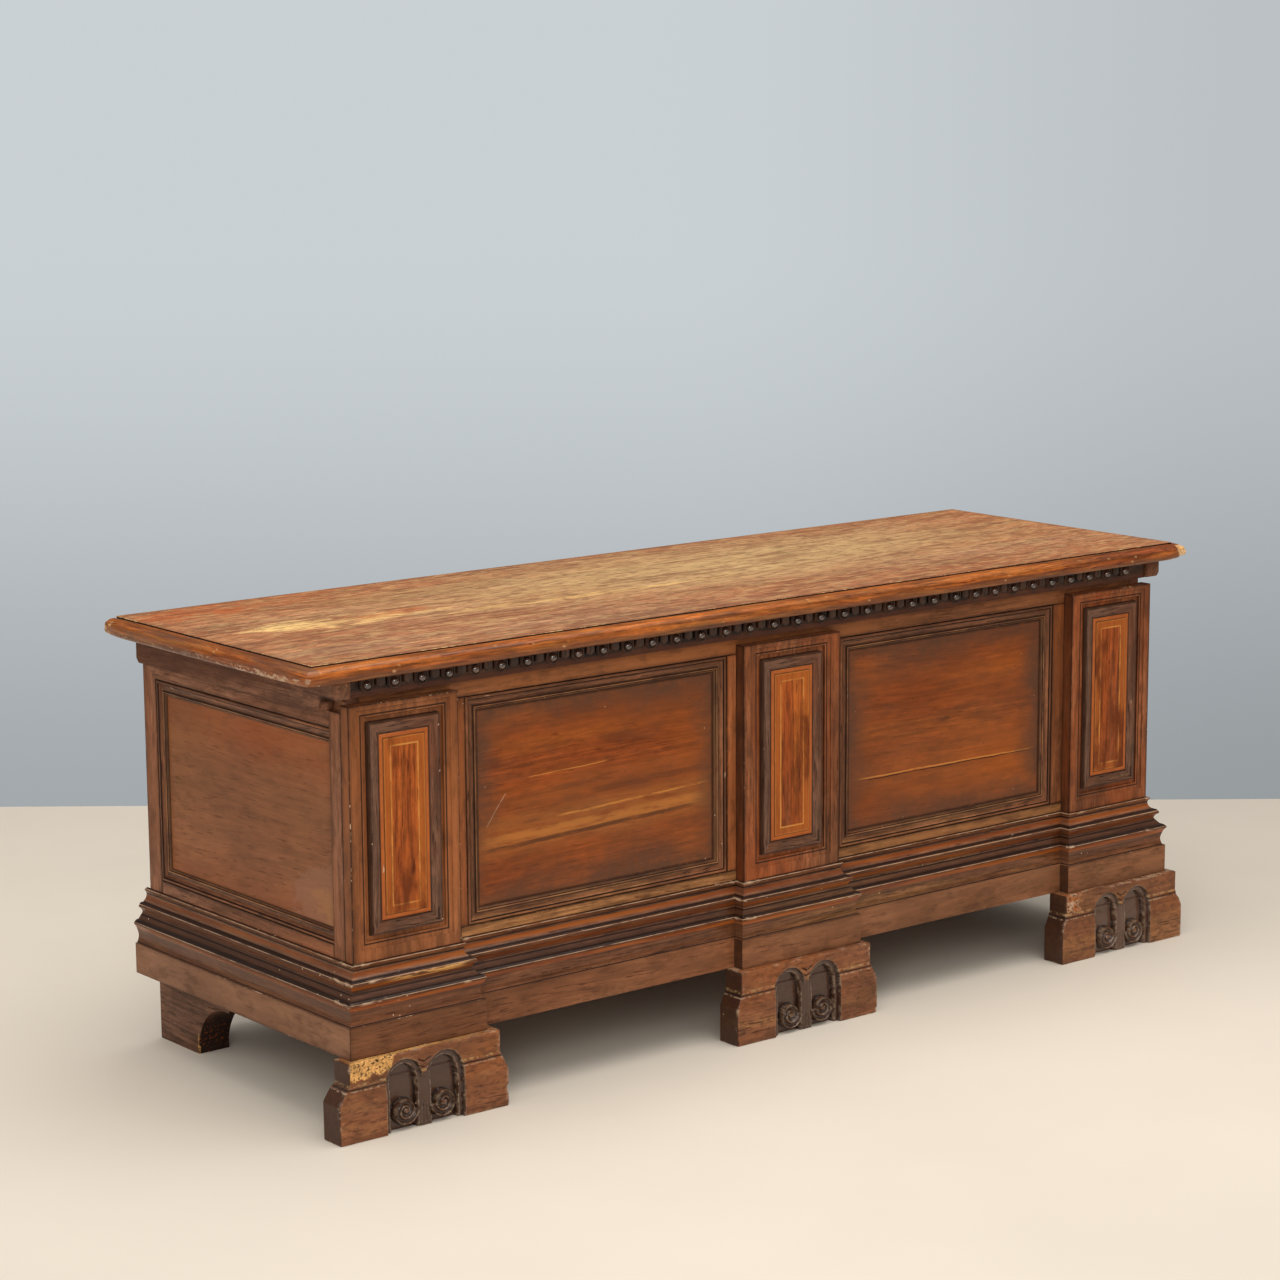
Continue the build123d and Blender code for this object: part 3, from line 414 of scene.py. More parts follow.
def grain_group():
    """Walnut drawn out along X: broad figure, fibres, mottling and short dark pores."""
    sheet, given, result = start_group(
        "Walnut grain",
        [
            ("Vector", VECTOR),
            ("Dark", COLOUR),
            ("Mid", COLOUR),
            ("Light", COLOUR),
            ("Figure", FLOAT),
            ("Fine", FLOAT),
        ],
        [("Colour", COLOUR), ("Height", FLOAT)],
    )
    wander = sheet.noise(given["Vector"], (1.2, 4.0, 4.0), 2.0)
    shift = sheet.math("MULTIPLY_ADD", wander, 0.06, -0.03)
    offset = sheet.add("ShaderNodeCombineXYZ", {1: shift, 2: shift}).outputs[0]
    bent_way = sheet.vector("ADD", given["Vector"], offset)
    figure = sheet.noise(bent_way, (1.5, 24.0, 24.0), 6.0, 0.62, 0.2)
    fibre = sheet.noise(bent_way, (8.0, 180.0, 180.0), 5.0, 0.72)
    mottle = sheet.noise(given["Vector"], (34.0, 95.0, 95.0), 5.0, 0.72)
    pores = sheet.noise(bent_way, (26.0, 420.0, 420.0), 2.0)
    spread = sheet.times(given["Figure"], 0.17)
    low = sheet.math("SUBTRACT", 0.5, spread)
    high = sheet.math("ADD", 0.5, spread)
    colour = sheet.mix(sheet.band(figure, low, 0.51), given["Dark"], given["Mid"])
    colour = sheet.mix(sheet.band(figure, 0.49, high), colour, given["Light"])
    streak = sheet.band(fibre, 0.32, 0.68, 0.55, 1.45)
    cloud = sheet.band(mottle, 0.3, 0.7, 0.74, 1.26)
    value = sheet.math("SUBTRACT", sheet.times(streak, cloud), 1.0)
    value = sheet.math("MULTIPLY_ADD", value, given["Fine"], 1.0)
    grey = sheet.grey(value)
    colour = sheet.mix(1.0, colour, grey, "MULTIPLY")
    pore = sheet.band(pores, 0.6, 0.68)
    shaded = sheet.mix(0.75, colour, given["Dark"], "MULTIPLY")
    colour = sheet.mix(pore, colour, shaded)
    height = sheet.math("MULTIPLY_ADD", pore, -0.7, fibre)
    height = sheet.math("MULTIPLY_ADD", mottle, 0.6, height)
    finish_group(sheet, result, Colour=colour, Height=height)


def blotch_group():
    """Where stains and bleached places lie, in soft-edged patches."""
    sheet, given, result = start_group(
        "Blotches",
        [("Vector", VECTOR), ("Scale", FLOAT), ("Cover", FLOAT), ("Softness", FLOAT)],
        [("Mask", FLOAT)],
    )
    inputs = {"Vector": given["Vector"], "Scale": given["Scale"], "Detail": 5.0, "Roughness": 0.62}
    patches = sheet.add("ShaderNodeTexNoise", inputs).outputs[0]
    level = sheet.math("MULTIPLY_ADD", given["Cover"], -0.5, 0.75)
    low = sheet.math("SUBTRACT", level, given["Softness"])
    high = sheet.math("ADD", level, given["Softness"])
    finish_group(sheet, result, Mask=sheet.band(patches, low, high))


def edge_group():
    """How far a point on a board's surface is from the board's nearest arris.

    Of a point's three distances to the faces of the board, the smallest is nought, because the
    point is on that face, and the middle one is its distance to the nearest arris.
    """
    sheet, given, result = start_group(
        "Board arris",
        [("Vector", VECTOR), ("Centre", VECTOR), ("Half size", VECTOR)],
        [("Distance", FLOAT)],
    )
    away = sheet.vector("ABSOLUTE", sheet.vector("SUBTRACT", given["Vector"], given["Centre"]))
    room = sheet.vector("SUBTRACT", given["Half size"], away)
    parts = sheet.parts(room)
    low = sheet.math("MINIMUM", parts[0], parts[1])
    high = sheet.math("MAXIMUM", parts[0], parts[1])
    middle = sheet.math("MAXIMUM", low, sheet.math("MINIMUM", high, parts[2]))
    finish_group(sheet, result, Distance=middle)


def wear_group():
    """Bare wood where an arris is rubbed or chipped: near it always, further off in places."""
    sheet, given, result = start_group(
        "Worn arris",
        [
            ("Colour", COLOUR),
            ("Bare", COLOUR),
            ("Vector", VECTOR),
            ("Distance", FLOAT),
            ("Reach", FLOAT),
            ("Amount", FLOAT),
        ],
        [("Colour", COLOUR), ("Mask", FLOAT)],
    )
    chips = sheet.noise(given["Vector"], 170.0, 4.0, 0.7)
    stretches = sheet.noise(given["Vector"], 13.0, 3.0, 0.6)
    level = sheet.times(stretches, 0.5)
    level = sheet.math("MULTIPLY_ADD", chips, 0.5, level)
    near = sheet.math("DIVIDE", given["Distance"], given["Reach"])
    near = sheet.math("SUBTRACT", 1.0, near, clamp=True)
    level = sheet.math("MULTIPLY_ADD", near, 0.2, level)
    needed = sheet.math("MULTIPLY_ADD", given["Amount"], -0.36, 0.86)
    strength = sheet.math("SUBTRACT", level, needed)
    mask = sheet.times(sheet.band(strength, -0.015, 0.03), sheet.band(near, 0.0, 0.2))
    colour = sheet.mix(mask, given["Colour"], given["Bare"])
    finish_group(sheet, result, Colour=colour, Mask=mask)


def worm_group():
    """Small round worm holes scattered in drifts."""
    sheet, given, result = start_group(
        "Worm holes",
        [("Vector", VECTOR), ("Scale", FLOAT), ("Radius", FLOAT), ("Amount", FLOAT)],
        [("Mask", FLOAT)],
    )
    inputs = {"Vector": given["Vector"], "Scale": given["Scale"], "Randomness": 1.0}
    cells = sheet.add("ShaderNodeTexVoronoi", inputs)
    chance = sheet.add("ShaderNodeSeparateColor", {0: cells.outputs["Color"]}).outputs[0]
    drift = sheet.noise(given["Vector"], 7.0, 2.0)
    chosen = sheet.math("LESS_THAN", chance, sheet.times(drift, given["Amount"]))
    reach = sheet.times(given["Radius"], given["Scale"])
    inner = sheet.times(reach, 0.6)
    hole = sheet.band(cells.outputs["Distance"], inner, reach, 1.0, 0.0)
    finish_group(sheet, result, Mask=sheet.times(hole, chosen))


def field_group():
    """Distance from a point to the nearest side of a rectangle in X and Z, positive inside."""
    sheet, given, result = start_group(
        "Field margin",
        [("Vector", VECTOR), ("Centre", VECTOR), ("Half size", VECTOR)],
        [("Distance", FLOAT)],
    )
    away = sheet.vector("ABSOLUTE", sheet.vector("SUBTRACT", given["Vector"], given["Centre"]))
    room = sheet.vector("SUBTRACT", given["Half size"], away)
    parts = sheet.parts(room)
    nearest = sheet.math("MINIMUM", sheet.math("MINIMUM", parts[0], parts[1]), parts[2])
    finish_group(sheet, result, Distance=nearest)


def make_groups():
    grain_group()
    blotch_group()
    edge_group()
    wear_group()
    worm_group()
    field_group()


# ---- materials -----------------------------------------------------------------------------
HOLE = (0.015, 0.008, 0.005)  # colour of a worm hole
ANY_DEPTH = 9.0  # half size of a box whose depth does not count
LENGTHWISE = {"X": (0.0, 0.0, 0.0), "Y": (0.0, 0.0, -math.pi / 2), "Z": (0.0, math.pi / 2, 0.0)}


class Wood:
    """One wood material being built: where its points are, its colour, height and roughness."""

    def __init__(self, name, grain="X", seed=0.0, uv=False):
        self.material = bpy.data.materials.new(name)
        self.material.use_nodes = True
        tree = self.material.node_tree
        tree.nodes.clear()
        self.sheet = Sheet(tree)
        self.coordinates = self.sheet.add("ShaderNodeTexCoord").outputs
        self.point = self.coordinates["Object"]
        source = self.coordinates["UV"] if uv else self.point
        inputs = {"Vector": source, "Location": (seed, seed * 0.37, seed * 0.61)}
        if not uv:
            inputs["Rotation"] = LENGTHWISE[grain]
        self.grain_way = self.sheet.add("ShaderNodeMapping", inputs).outputs[0]
        self.colour = None
        self.height = 0.0
        self.gloss_loss = 0.0

    def grain(self, dark, mid, light, figure=1.0, fine=1.0):
        out = self.sheet.group(
            "Walnut grain",
            Vector=self.grain_way,
            Dark=dark,
            Mid=mid,
            Light=light,
            Figure=figure,
            Fine=fine,
        )
        self.colour = out["Colour"]
        self.height = out["Height"]
        return self

    def blotch(
        self, stain, scale, cover, softness=0.08, along=(1.0, 1.0, 1.0), within=None, strength=1.0
    ):
        way = self.sheet.vector("MULTIPLY", self.grain_way, along)
        inputs = {"Vector": way, "Scale": scale, "Cover": cover, "Softness": softness}
        mask = self.sheet.group("Blotches", **inputs)["Mask"]
        if within is not None:
            mask = self.sheet.times(mask, within)
        return self.lay(mask, stain, strength)

    def blotches(self, *rows):
        """Stains laid over one another.

        Each row: colour, its shade, scale, cover, softness, along, across, strength.
        """
        for tone, shade, scale, cover, softness, along, across, strength in rows:
            way = (along, across, across)
            self.blotch(rgb(tone, shade), scale, cover, softness, way, strength=strength)

    def lay(self, mask, colour, strength=1.0):
        """Lays a colour over the wood where mask is 1."""
        if strength != 1.0:
            mask = self.sheet.times(mask, strength)
        self.colour = self.sheet.mix(mask, self.colour, colour)
        return self

    def patch(self, stain, within, scale, along, strength=1.0):
        """A patch that is whole where within is 1 and breaks up as within falls to 0."""
        sheet = self.sheet
        way = sheet.vector("MULTIPLY", self.grain_way, along)
        level = sheet.math("MULTIPLY_ADD", within, 0.32, sheet.noise(way, scale, 6.0, 0.7))
        return self.lay(sheet.band(level, 0.68, 0.74, 0.0, strength), stain)

    def edge(self, node):
        """Distance to the nearest arris of a node that is one plain board."""
        low, high = corners(node)
        out = self.sheet.group(
            "Board arris",
            Vector=self.point,
            Centre=tuple((low + high) / 2),
            Half_size=tuple((high - low) / 2),
        )
        return out["Distance"]

    def seam(self, distance, width, strength, stain):
        """Old dirt along a joint, fading out over its width."""
        mask = self.sheet.band(distance, 0.3 * width, width, strength, 0.0)
        ragged = self.speckle((60.0, 3.0, 0.6), 0.3, 0.5, 0.55, 1.0)
        return self.lay(self.sheet.times(mask, ragged), stain)

    def ring(self, low, high, width, strength, stain):
        """A dark line round a rectangle in X and Z, inside and outside it."""
        away = self.sheet.math("ABSOLUTE", self.margin(low, high))
        return self.lay(self.sheet.band(away, 0.4 * width, width, strength, 0.0), stain)

    def margin(self, low, high, inset=0.0):
        """Distance to the nearest side in X and Z of a box less an inset, positive inside."""
        half = (high - low) / 2 - inset
        half[1] = ANY_DEPTH
        centre = tuple((low + high) / 2)
        return self.sheet.group(
            "Field margin", Vector=self.point, Centre=centre, Half_size=tuple(half)
        )["Distance"]

    def speckle(self, noise, low, high, bottom=0.0, top=1.0):
        """A band of the noise at each point, given as (scale, detail, roughness)."""
        return self.sheet.band(self.sheet.noise(self.point, *noise), low, high, bottom, top)

    def dots(self, scale, radius, amount, within=None):
        """Mask of small round spots scattered in drifts."""
        inputs = {"Vector": self.point, "Scale": scale, "Radius": radius, "Amount": amount}
        mask = self.sheet.group("Worm holes", **inputs)["Mask"]
        return mask if within is None else self.sheet.times(mask, within)

    def flecks(self, scale, radius, amount, strength=0.9, within=None):
        """Small pale chips and specks scattered in drifts."""
        return self.lay(self.dots(scale, radius, amount, within), rgb("bare", 1.1), strength)

    def given(self, name):
        """A value stored on the mesh's points."""
        return self.sheet.add("ShaderNodeAttribute", attribute_name=name).outputs["Fac"]

    def facing(self, way):
        """1 where the surface faces a direction of its piece, 0 where it faces across or away."""
        normal = self.coordinates["Normal"]
        return self.sheet.band(self.sheet.dot(normal, way), 0.3, 0.8)

    def stroke(self, start, end, width, colour, strength=1.0, waver=0.003, axis=0, gaps=0.42):
        """A broken line from start to end, (along, up) in metres, across the face of a board."""
        sheet = self.sheet
        parts = sheet.parts(self.point)
        run, rise = end[0] - start[0], end[1] - start[1]
        length = math.hypot(run, rise)
        cos, sin = run / length, rise / length
        x = sheet.math("SUBTRACT", parts[axis], start[0])
        z = sheet.math("SUBTRACT", parts[2], start[1])
        along = sheet.math("MULTIPLY_ADD", x, cos, sheet.times(z, sin))
        across = sheet.math("MULTIPLY_ADD", z, cos, sheet.times(x, -sin))
        flat = sheet.add("ShaderNodeCombineXYZ", {0: along, 1: start[1] * 7}).outputs[0]
        wobble = sheet.noise(flat, 12.0, 4.0, 0.6)
        across = sheet.math("ADD", across, sheet.math("MULTIPLY_ADD", wobble, 2 * waver, -waver))
        mask = sheet.band(sheet.math("ABSOLUTE", across), 0.5 * width, width, strength, 0.0)
        mask = sheet.times(mask, sheet.band(along, 0.0, 0.08 * length))
        mask = sheet.times(mask, sheet.band(along, 0.92 * length, length, 1.0, 0.0))
        broken = sheet.noise(self.grain_way, (16.0, 110.0, 110.0), 4.0, 0.65)
        holes = sheet.band(broken, gaps - 0.12, gaps + 0.12)
        return self.lay(sheet.times(mask, holes), colour)

    def wear(self, distance, bare, reach=0.004, amount=0.35):
        out = self.sheet.group(
            "Worn arris",
            Colour=self.colour,
            Bare=bare,
            Vector=self.point,
            Distance=distance,
            Reach=reach,
            Amount=amount,
        )
        self.colour = out["Colour"]
        self.gloss_loss = self.sheet.math("ADD", self.gloss_loss, out["Mask"])
        return self

    def worm(self, scale=70.0, radius=0.0011, amount=0.25, within=None):
        """Dark worm holes, sunk into the surface."""
        mask = self.dots(scale, radius, amount, within)
        self.height = self.sheet.math("MULTIPLY_ADD", mask, -3.0, self.height)
        return self.lay(mask, HOLE)

    def done(
        self, roughness=0.42, depth=0.00025, coat=0.0, spread=0.2, shine=0.14, film=0.2, lustre=1.5
    ):
        polish = self.sheet.noise(self.point, 9.0, 4.0, 0.6)
        rough = self.sheet.math("MULTIPLY_ADD", polish, spread, roughness - spread / 2)
        rough = self.sheet.math("MULTIPLY_ADD", self.gloss_loss, 0.3, rough, clamp=True)
        bump = self.sheet.add(
            "ShaderNodeBump", {"Height": self.height, "Distance": depth, "Strength": 1.0}
        ).outputs[0]
        shader = self.sheet.add(
            "ShaderNodeBsdfPrincipled",
            {
                "Base Color": self.colour,
                "Roughness": rough,
                "Specular IOR Level": shine,
                "Normal": bump,
                "Coat Weight": coat,
                "Coat Roughness": film,
                "Coat IOR": lustre,
            },
        ).outputs[0]
        self.sheet.add("ShaderNodeOutputMaterial", {"Surface": shader})
        return self.material


def set_material(piece, material):
    piece.data.materials.clear()
    piece.data.materials.append(material)


def soften(piece, width=0.0009):
    """Merges a solid's loose triangles and rounds its arrises a little."""
    weld = piece.modifiers.new("Joined faces", "WELD")
    weld.merge_threshold = 1e-5
    bevel = piece.modifiers.new("Rounded arrises", "BEVEL")
    bevel.width = width
    bevel.segments = 2
    bevel.limit_method = "ANGLE"
    bevel.angle_limit = math.radians(32)
    bevel.use_clamp_overlap = True


# ---- stage ---------------------------------------------------------------------------------
def plain_material(name, colour, roughness):
    material = bpy.data.materials.new(name)
    material.use_nodes = True
    shader = material.node_tree.nodes["Principled BSDF"]
    shader.inputs["Base Color"].default_value = (*colour, 1.0)
    shader.inputs["Roughness"].default_value = roughness
    return material


def aim(yaw, pitch, roll):
    """Rotation of a camera that looks along +Y, turned to the right, tipped up and rolled."""
    forward = Vector(
        (math.sin(yaw) * math.cos(pitch), math.cos(yaw) * math.cos(pitch), math.sin(pitch))
    )
    right = forward.cross(Vector((0, 0, 1))).normalized()
    up = right.cross(forward)
    rolled_right = right * math.cos(roll) + up * math.sin(roll)
    rolled_up = rolled_right.cross(forward)
    return Matrix((rolled_right, rolled_up, -forward)).transposed().to_quaternion()


# ---- palette and wear ----------------------------------------------------------------------
def colour(name, description, default):
    return FloatVectorProperty(
        name=name, description=description, default=default, size=3, subtype="COLOR", min=0, max=1
    )


def length(name, description, default):
    return FloatProperty(
        name=name, description=description, default=default, unit="LENGTH", subtype="DISTANCE"
    )


def angle(name, description, degrees):
    return FloatProperty(
        name=name, description=description, default=math.radians(degrees), unit="ROTATION"
    )


class CassoneColours(bpy.types.PropertyGroup):
    # Some of these colours also stand in for light: black and dark lay painted shade under boards,
    # on left-facing returns, along steps, in quirks, hollows and coves and on the plinth's lips;
    # bare, tan, raw, red and orange lay painted highlight on the plinth's rounds and lips and on the
    # carved feet.
    dark: colour("Dark walnut", "Darkest figure of the waxed walnut", (0.070, 0.026, 0.012))
    brown: colour("Brown walnut", "Middle tone of the frame", (0.215, 0.080, 0.034))
    olive: colour("Faded walnut", "Lighter, greener figure of the frame", (0.330, 0.150, 0.055))
    red: colour("Red walnut", "Polished middle of the panels", (0.33, 0.070, 0.013))
    orange: colour("Orange walnut", "Lightest figure of panels and tablets", (0.56, 0.150, 0.024))
    mauve: colour("Mauve walnut", "Middle tone of the lid", (0.43, 0.215, 0.110))
    plum: colour("Plum walnut", "Middle tone of the ends", (0.235, 0.112, 0.066))
    tan: colour("Bleached walnut", "Bleached streaks of the lid", (0.68, 0.45, 0.20))
    gold: colour("Golden streak", "Barest streak of the lid", (0.72, 0.43, 0.165))
    black: colour("Grime and painted shade", "Old wax and dirt in corners", (0.014, 0.006, 0.004))
    bare: colour("Bare wood", "Rubbed and chipped arrises", (0.62, 0.43, 0.28))
    raw: colour("Raw wood", "Deep wear and worm-eaten wood", (0.72, 0.38, 0.12))
    string: colour("Stringing", "Pale inlaid line of the tablets", (0.70, 0.28, 0.06))
    dry: colour("Unpolished wood", "Back, floor and undersides", (0.24, 0.135, 0.07))
    iron: colour("Iron", "Wrought hinges", (0.045, 0.038, 0.034))


class CassoneStage(bpy.types.PropertyGroup):
    camera_place: FloatVectorProperty(
        name="Camera place",
        description="Where the camera stands",
        default=(-3.17906, -3.87784, 1.46835),
        size=3,
        unit="LENGTH",
    )
    camera_yaw: angle("Yaw", "Turn to the right of +Y", 38.71)
    camera_pitch: angle("Pitch", "Tip upwards", -10.41)
    camera_roll: angle("Roll", "Roll about the view", -0.36)
    lens: FloatProperty(name="Lens", description="Focal length in millimetres", default=92.66)
    centre_x: FloatProperty(
        name="Centre X", description="Optical centre in a 1280 pixel frame", default=642.52
    )
    centre_y: FloatProperty(
        name="Centre Y", description="Optical centre in a 1280 pixel frame", default=646.85
    )
    wall_distance: length("Wall distance", "From the camera to the wall", 6.30)
    floor: colour("Floor", "Plain floor", (0.785, 0.705, 0.60))
    wall: colour("Wall", "Plain wall", (0.55, 0.59, 0.615))
    key_power: FloatProperty(name="Key", description="Lamp by the camera", default=55, unit="POWER")
    top_power: FloatProperty(name="Top", description="Lamp overhead", default=72, unit="POWER")
    sky: FloatProperty(
        name="Sky", description="Light from the front and above", default=0.93, min=0
    )


class CassoneWear(bpy.types.PropertyGroup):
    lip: length("Lip wear", "Deepest chips in the plinth's lips", 0.0026)
    nose: length("Nose wear", "Deepest wear of the lid's nose", 0.0010)
    corner: length("Corner wear", "Wood lost at the lid's corners", 0.006)
    waver: length("Hand work", "How far a moulding wanders from straight", 0.0004)
    chamfer: length("Softened arris", "Width of the bevel on plain boards", 0.0008)


class CassoneCarving(bpy.types.PropertyGroup):
    first_pearl: length("First pearl", "From the strip's left end to the first pearl", 0.0255)
    pearl: length("Pearl", "Radius of a pearl", 0.0064)
    pearl_drop: length("Pearl's drop", "From the strip's top to a pearl's middle", 0.0115)
    ring: length("Ring", "Radius of the ring round a pearl", 0.0090)
    step: length("Step", "Distance between points of the carved feet", 0.0011)
    niche_edge: length("Niche edge", "From a foot's middle to the outer side of a niche", 0.0645)
    stem: length("Stem", "Half the wood between the niches", 0.0035)
    crown: length("Crown", "Height of the niches' crowns", 0.101)
    rim: length("Rim", "Width of the niches' stepped rim", 0.008)
    rim_depth: length("Rim depth", "Depth of that rim", 0.0058)
    recess: length("Recess", "Depth of the niches", 0.015)
    volute_offset: length("Volute offset", "From a foot's middle to a volute's middle", 0.032)
    volute_height: length("Volute height", "Height of a volute's middle", 0.0275)
    volute: length("Volute", "Radius at which a volute leaves the stem", 0.0215)
    coil: length("Coil", "Distance between the turns of a volute", 0.0085)


def rgb(name, strength=1.0):
    """One colour of the palette, made lighter or darker."""
    values = getattr(bpy.context.scene.cassone_colours, name)
    return tuple(min(1.0, channel * strength) for channel in values)


# ---- frame boards --------------------------------------------------------------------------
def board_wood(
    node,
    grain,
    base="brown",
    shade=1.0,
    tints=(("red", 0.35), ("olive", 0.35)),
    worn=0.12,
    reach=0.0022,
    dirt=0.8,
    returns=0.0,
    coat=0.0,
    sunk=None,
    fine=1.0,
):
    """Walnut of one board: grain, soft stains, dirty joints, rubbed arrises, worm and painted shade
    on the faces that look down.

    Returns lays painted shade on the faces that look left, where the board steps forward,
    and sunk names the moulding round which the board's two steps lie; a line of painted shade
    marks each step.
    """
    wood = Wood(node + "_walnut", grain, sum(map(ord, node)) * 0.173)
    wood.grain(rgb(base, 0.62 * shade), rgb(base, shade), rgb(base, 1.32 * shade), 1.0, fine)
    for tint, strength in tints:
        way = (0.5, 2.0, 2.0)
        wood.blotch(rgb(tint, 0.9 * shade), 3.1, 0.5, 0.16, way, strength=strength)
    wood.blotches(
        ("dark", 0.9, 5.5, 0.42, 0.14, 0.5, 1.8, 0.5),
        ("dark", 1.1, 34.0, 0.36, 0.08, 0.6, 1.4, 0.45),
    )
    wood.flecks(55, 0.0012, 0.12, 0.8)
    edge = wood.edge(node)
    wood.seam(edge, 0.0060, 0.38 * dirt, rgb("dark", 0.6))
    wood.seam(edge, 0.0018, dirt, rgb("black"))
    wood.worm(62, 0.0010, 0.2)
    # painted shade on the faces that look down
    wood.lay(wood.facing((0, 0, -1)), rgb("black", 1.2), 0.85)
    # painted shade: a dark line along each of the two steps of the sunk field
    if sunk:
        low, high = corners(sunk)
        for step in (0.0, SUNK_STEP):
            out = np.array([step, 0.0, step])
            wood.ring(low - out, high + out, 0.0016, 0.9, rgb("black", 1.2))
    # painted shade on the faces that look left
    if returns:
        wood.lay(wood.sheet.times(wood.facing((-1, 0, 0)), returns), rgb("black", 1.3))
    wood.wear(edge, rgb("bare"), reach, worn)
    set_material(NODES[node], wood.done(coat=coat))
    soften(NODES[node], bpy.context.scene.cassone_wear.chamfer)


def dress(piece, material, body):
    set_material(piece, material)
    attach(piece, body)


class CASSONE_OT_stage(bpy.types.Operator):
    """Floor, wall, lamps and camera"""

    bl_idname = "cassone.stage"
    bl_label = "Stage"

    def execute(self, context):
        settings = context.scene.cassone_stage
        camera = bpy.data.objects.new("camera", bpy.data.cameras.new("camera"))
        camera.location = settings.camera_place
        camera.rotation_mode = "QUATERNION"
        camera.rotation_quaternion = aim(
            settings.camera_yaw, settings.camera_pitch, settings.camera_roll
        )
        camera.data.lens = settings.lens
        camera.data.sensor_width = 36
        camera.data.shift_x = (640 - settings.centre_x) / 1280
        camera.data.shift_y = (settings.centre_y - 640) / 1280
        context.scene.collection.objects.link(camera)
        context.scene.camera = camera

        floor = self.plane("floor", (0, 0, 0), (1, 0, 0), (0, 1, 0), 30)
        set_material(floor, self.floor_material(settings))
        way = Vector((math.sin(settings.camera_yaw), math.cos(settings.camera_yaw), 0))
        foot = Vector(settings.camera_place) + way * settings.wall_distance
        foot.z = 0
        across = Vector((way.y, -way.x, 0))
        wall = self.plane("wall", foot + Vector((0, 0, 4.5)), across, (0, 0, 1), 4.5)
        set_material(wall, self.wall_material(settings, foot, across))
        wall.visible_diffuse = False
        wall.visible_glossy = False
        wall.visible_shadow = False

        key = self.lamp("key", (-3.4, -3.6, 2.2), (0.0, 0.0, 0.3), 1.8, settings.key_power)
        top = self.lamp("top", (0.1, -0.6, 3.5), (-0.1, -0.2, 0.0), 3.4, settings.top_power)
        self.sky(context, settings)
        context.scene.view_settings.view_transform = "Standard"
        return {"FINISHED"}

    def plane(self, name, middle, across, up, half):
        """A square of half-width half round a point, spanned by two unit vectors."""
        middle, across, up = Vector(middle), Vector(across), Vector(up)
        corner = [(-1, -1), (1, -1), (1, 1), (-1, 1)]
        points = [middle + across * half * a + up * half * b for a, b in corner]
        mesh = bpy.data.meshes.new(name)
        mesh.from_pydata([tuple(point) for point in points], [], [(0, 1, 2, 3)])
        piece = bpy.data.objects.new(name, mesh)
        bpy.context.scene.collection.objects.link(piece)
        return piece

    def lamp(self, name, place, target, size, power):
        data = bpy.data.lights.new(name, "AREA")
        data.shape = "SQUARE"
        data.size = size
        data.energy = power
        data.color = (1.0, 0.97, 0.93)
        lamp = bpy.data.objects.new(name, data)
        lamp.location = place
        lamp.rotation_mode = "QUATERNION"
        lamp.rotation_quaternion = (Vector(target) - Vector(place)).to_track_quat("-Z", "Y")
        bpy.context.scene.collection.objects.link(lamp)
        return lamp

    def sky(self, context, settings):
        """Even light that comes from the front and above and fades towards the back."""
        world = bpy.data.worlds.new("studio")
        context.scene.world = world
        world.use_nodes = True
        sheet = Sheet(world.node_tree)
        way = sheet.add("ShaderNodeTexCoord").outputs["Generated"]
        dot = sheet.dot(way, (-0.36, -0.32, 0.876))
        level = sheet.band(dot, -0.1, 0.95, 0.06 * settings.sky, settings.sky)
        background = world.node_tree.nodes["Background"]
        background.inputs["Color"].default_value = (1.0, 0.985, 0.96, 1)
        world.node_tree.links.new(level, background.inputs["Strength"])

    def floor_material(self, settings):
        material = plain_material("floor_paint", settings.floor, 0.75)
        sheet = Sheet(material.node_tree)
        place = sheet.add("ShaderNodeTexCoord").outputs["Object"]
        cloud = sheet.band(sheet.noise(place, 0.9, 4.0, 0.6), 0.3, 0.7, 0.97, 1.03)
        # painted falloff of light: darker away from a spot in front of the chest and towards the
        # right
        away = sheet.vector("SUBTRACT", place, (-0.9, -1.3, 0.0))
        reach = sheet.reach(away)
        fade = sheet.band(reach, 1.0, 4.6, 1.0, 0.88)
        right = sheet.band(sheet.parts(place)[0], 0.4, 1.8, 1.0, 0.84)
        level = sheet.times(cloud, fade, right)
        grey = sheet.grey(level)
        tone = sheet.mix(1.0, tuple(settings.floor), grey, "MULTIPLY")
        shader = material.node_tree.nodes["Principled BSDF"]
        material.node_tree.links.new(tone, shader.inputs["Base Color"])
        return material

    def wall_material(self, settings, foot, across):
        """A plain wall that glows with painted light, dimmer low down and to the right, see-through
        from behind.
        """
        material = bpy.data.materials.new("wall_paint")
        material.use_nodes = True
        tree = material.node_tree
        tree.nodes.clear()
        sheet = Sheet(tree)
        place = sheet.add("ShaderNodeTexCoord").outputs["Object"]
        height = sheet.parts(place)[2]
        away = sheet.vector("SUBTRACT", place, tuple(foot))
        aside = sheet.dot(away, tuple(across))
        level = sheet.band(height, -0.1, 1.1, 0.66, 1.07)
        right = sheet.band(aside, 0.0, 1.3, 1.0, 0.84)
        level = sheet.times(level, right)
        glow = sheet.add(
            "ShaderNodeEmission", {"Color": (*settings.wall, 1.0), "Strength": level}
        ).outputs[0]
        clear = sheet.add("ShaderNodeBsdfTransparent").outputs[0]
        back = sheet.add("ShaderNodeNewGeometry").outputs["Backfacing"]
        shader = sheet.add("ShaderNodeMixShader", {0: back, 1: glow, 2: clear}).outputs[0]
        sheet.add("ShaderNodeOutputMaterial", {"Surface": shader})
        return material


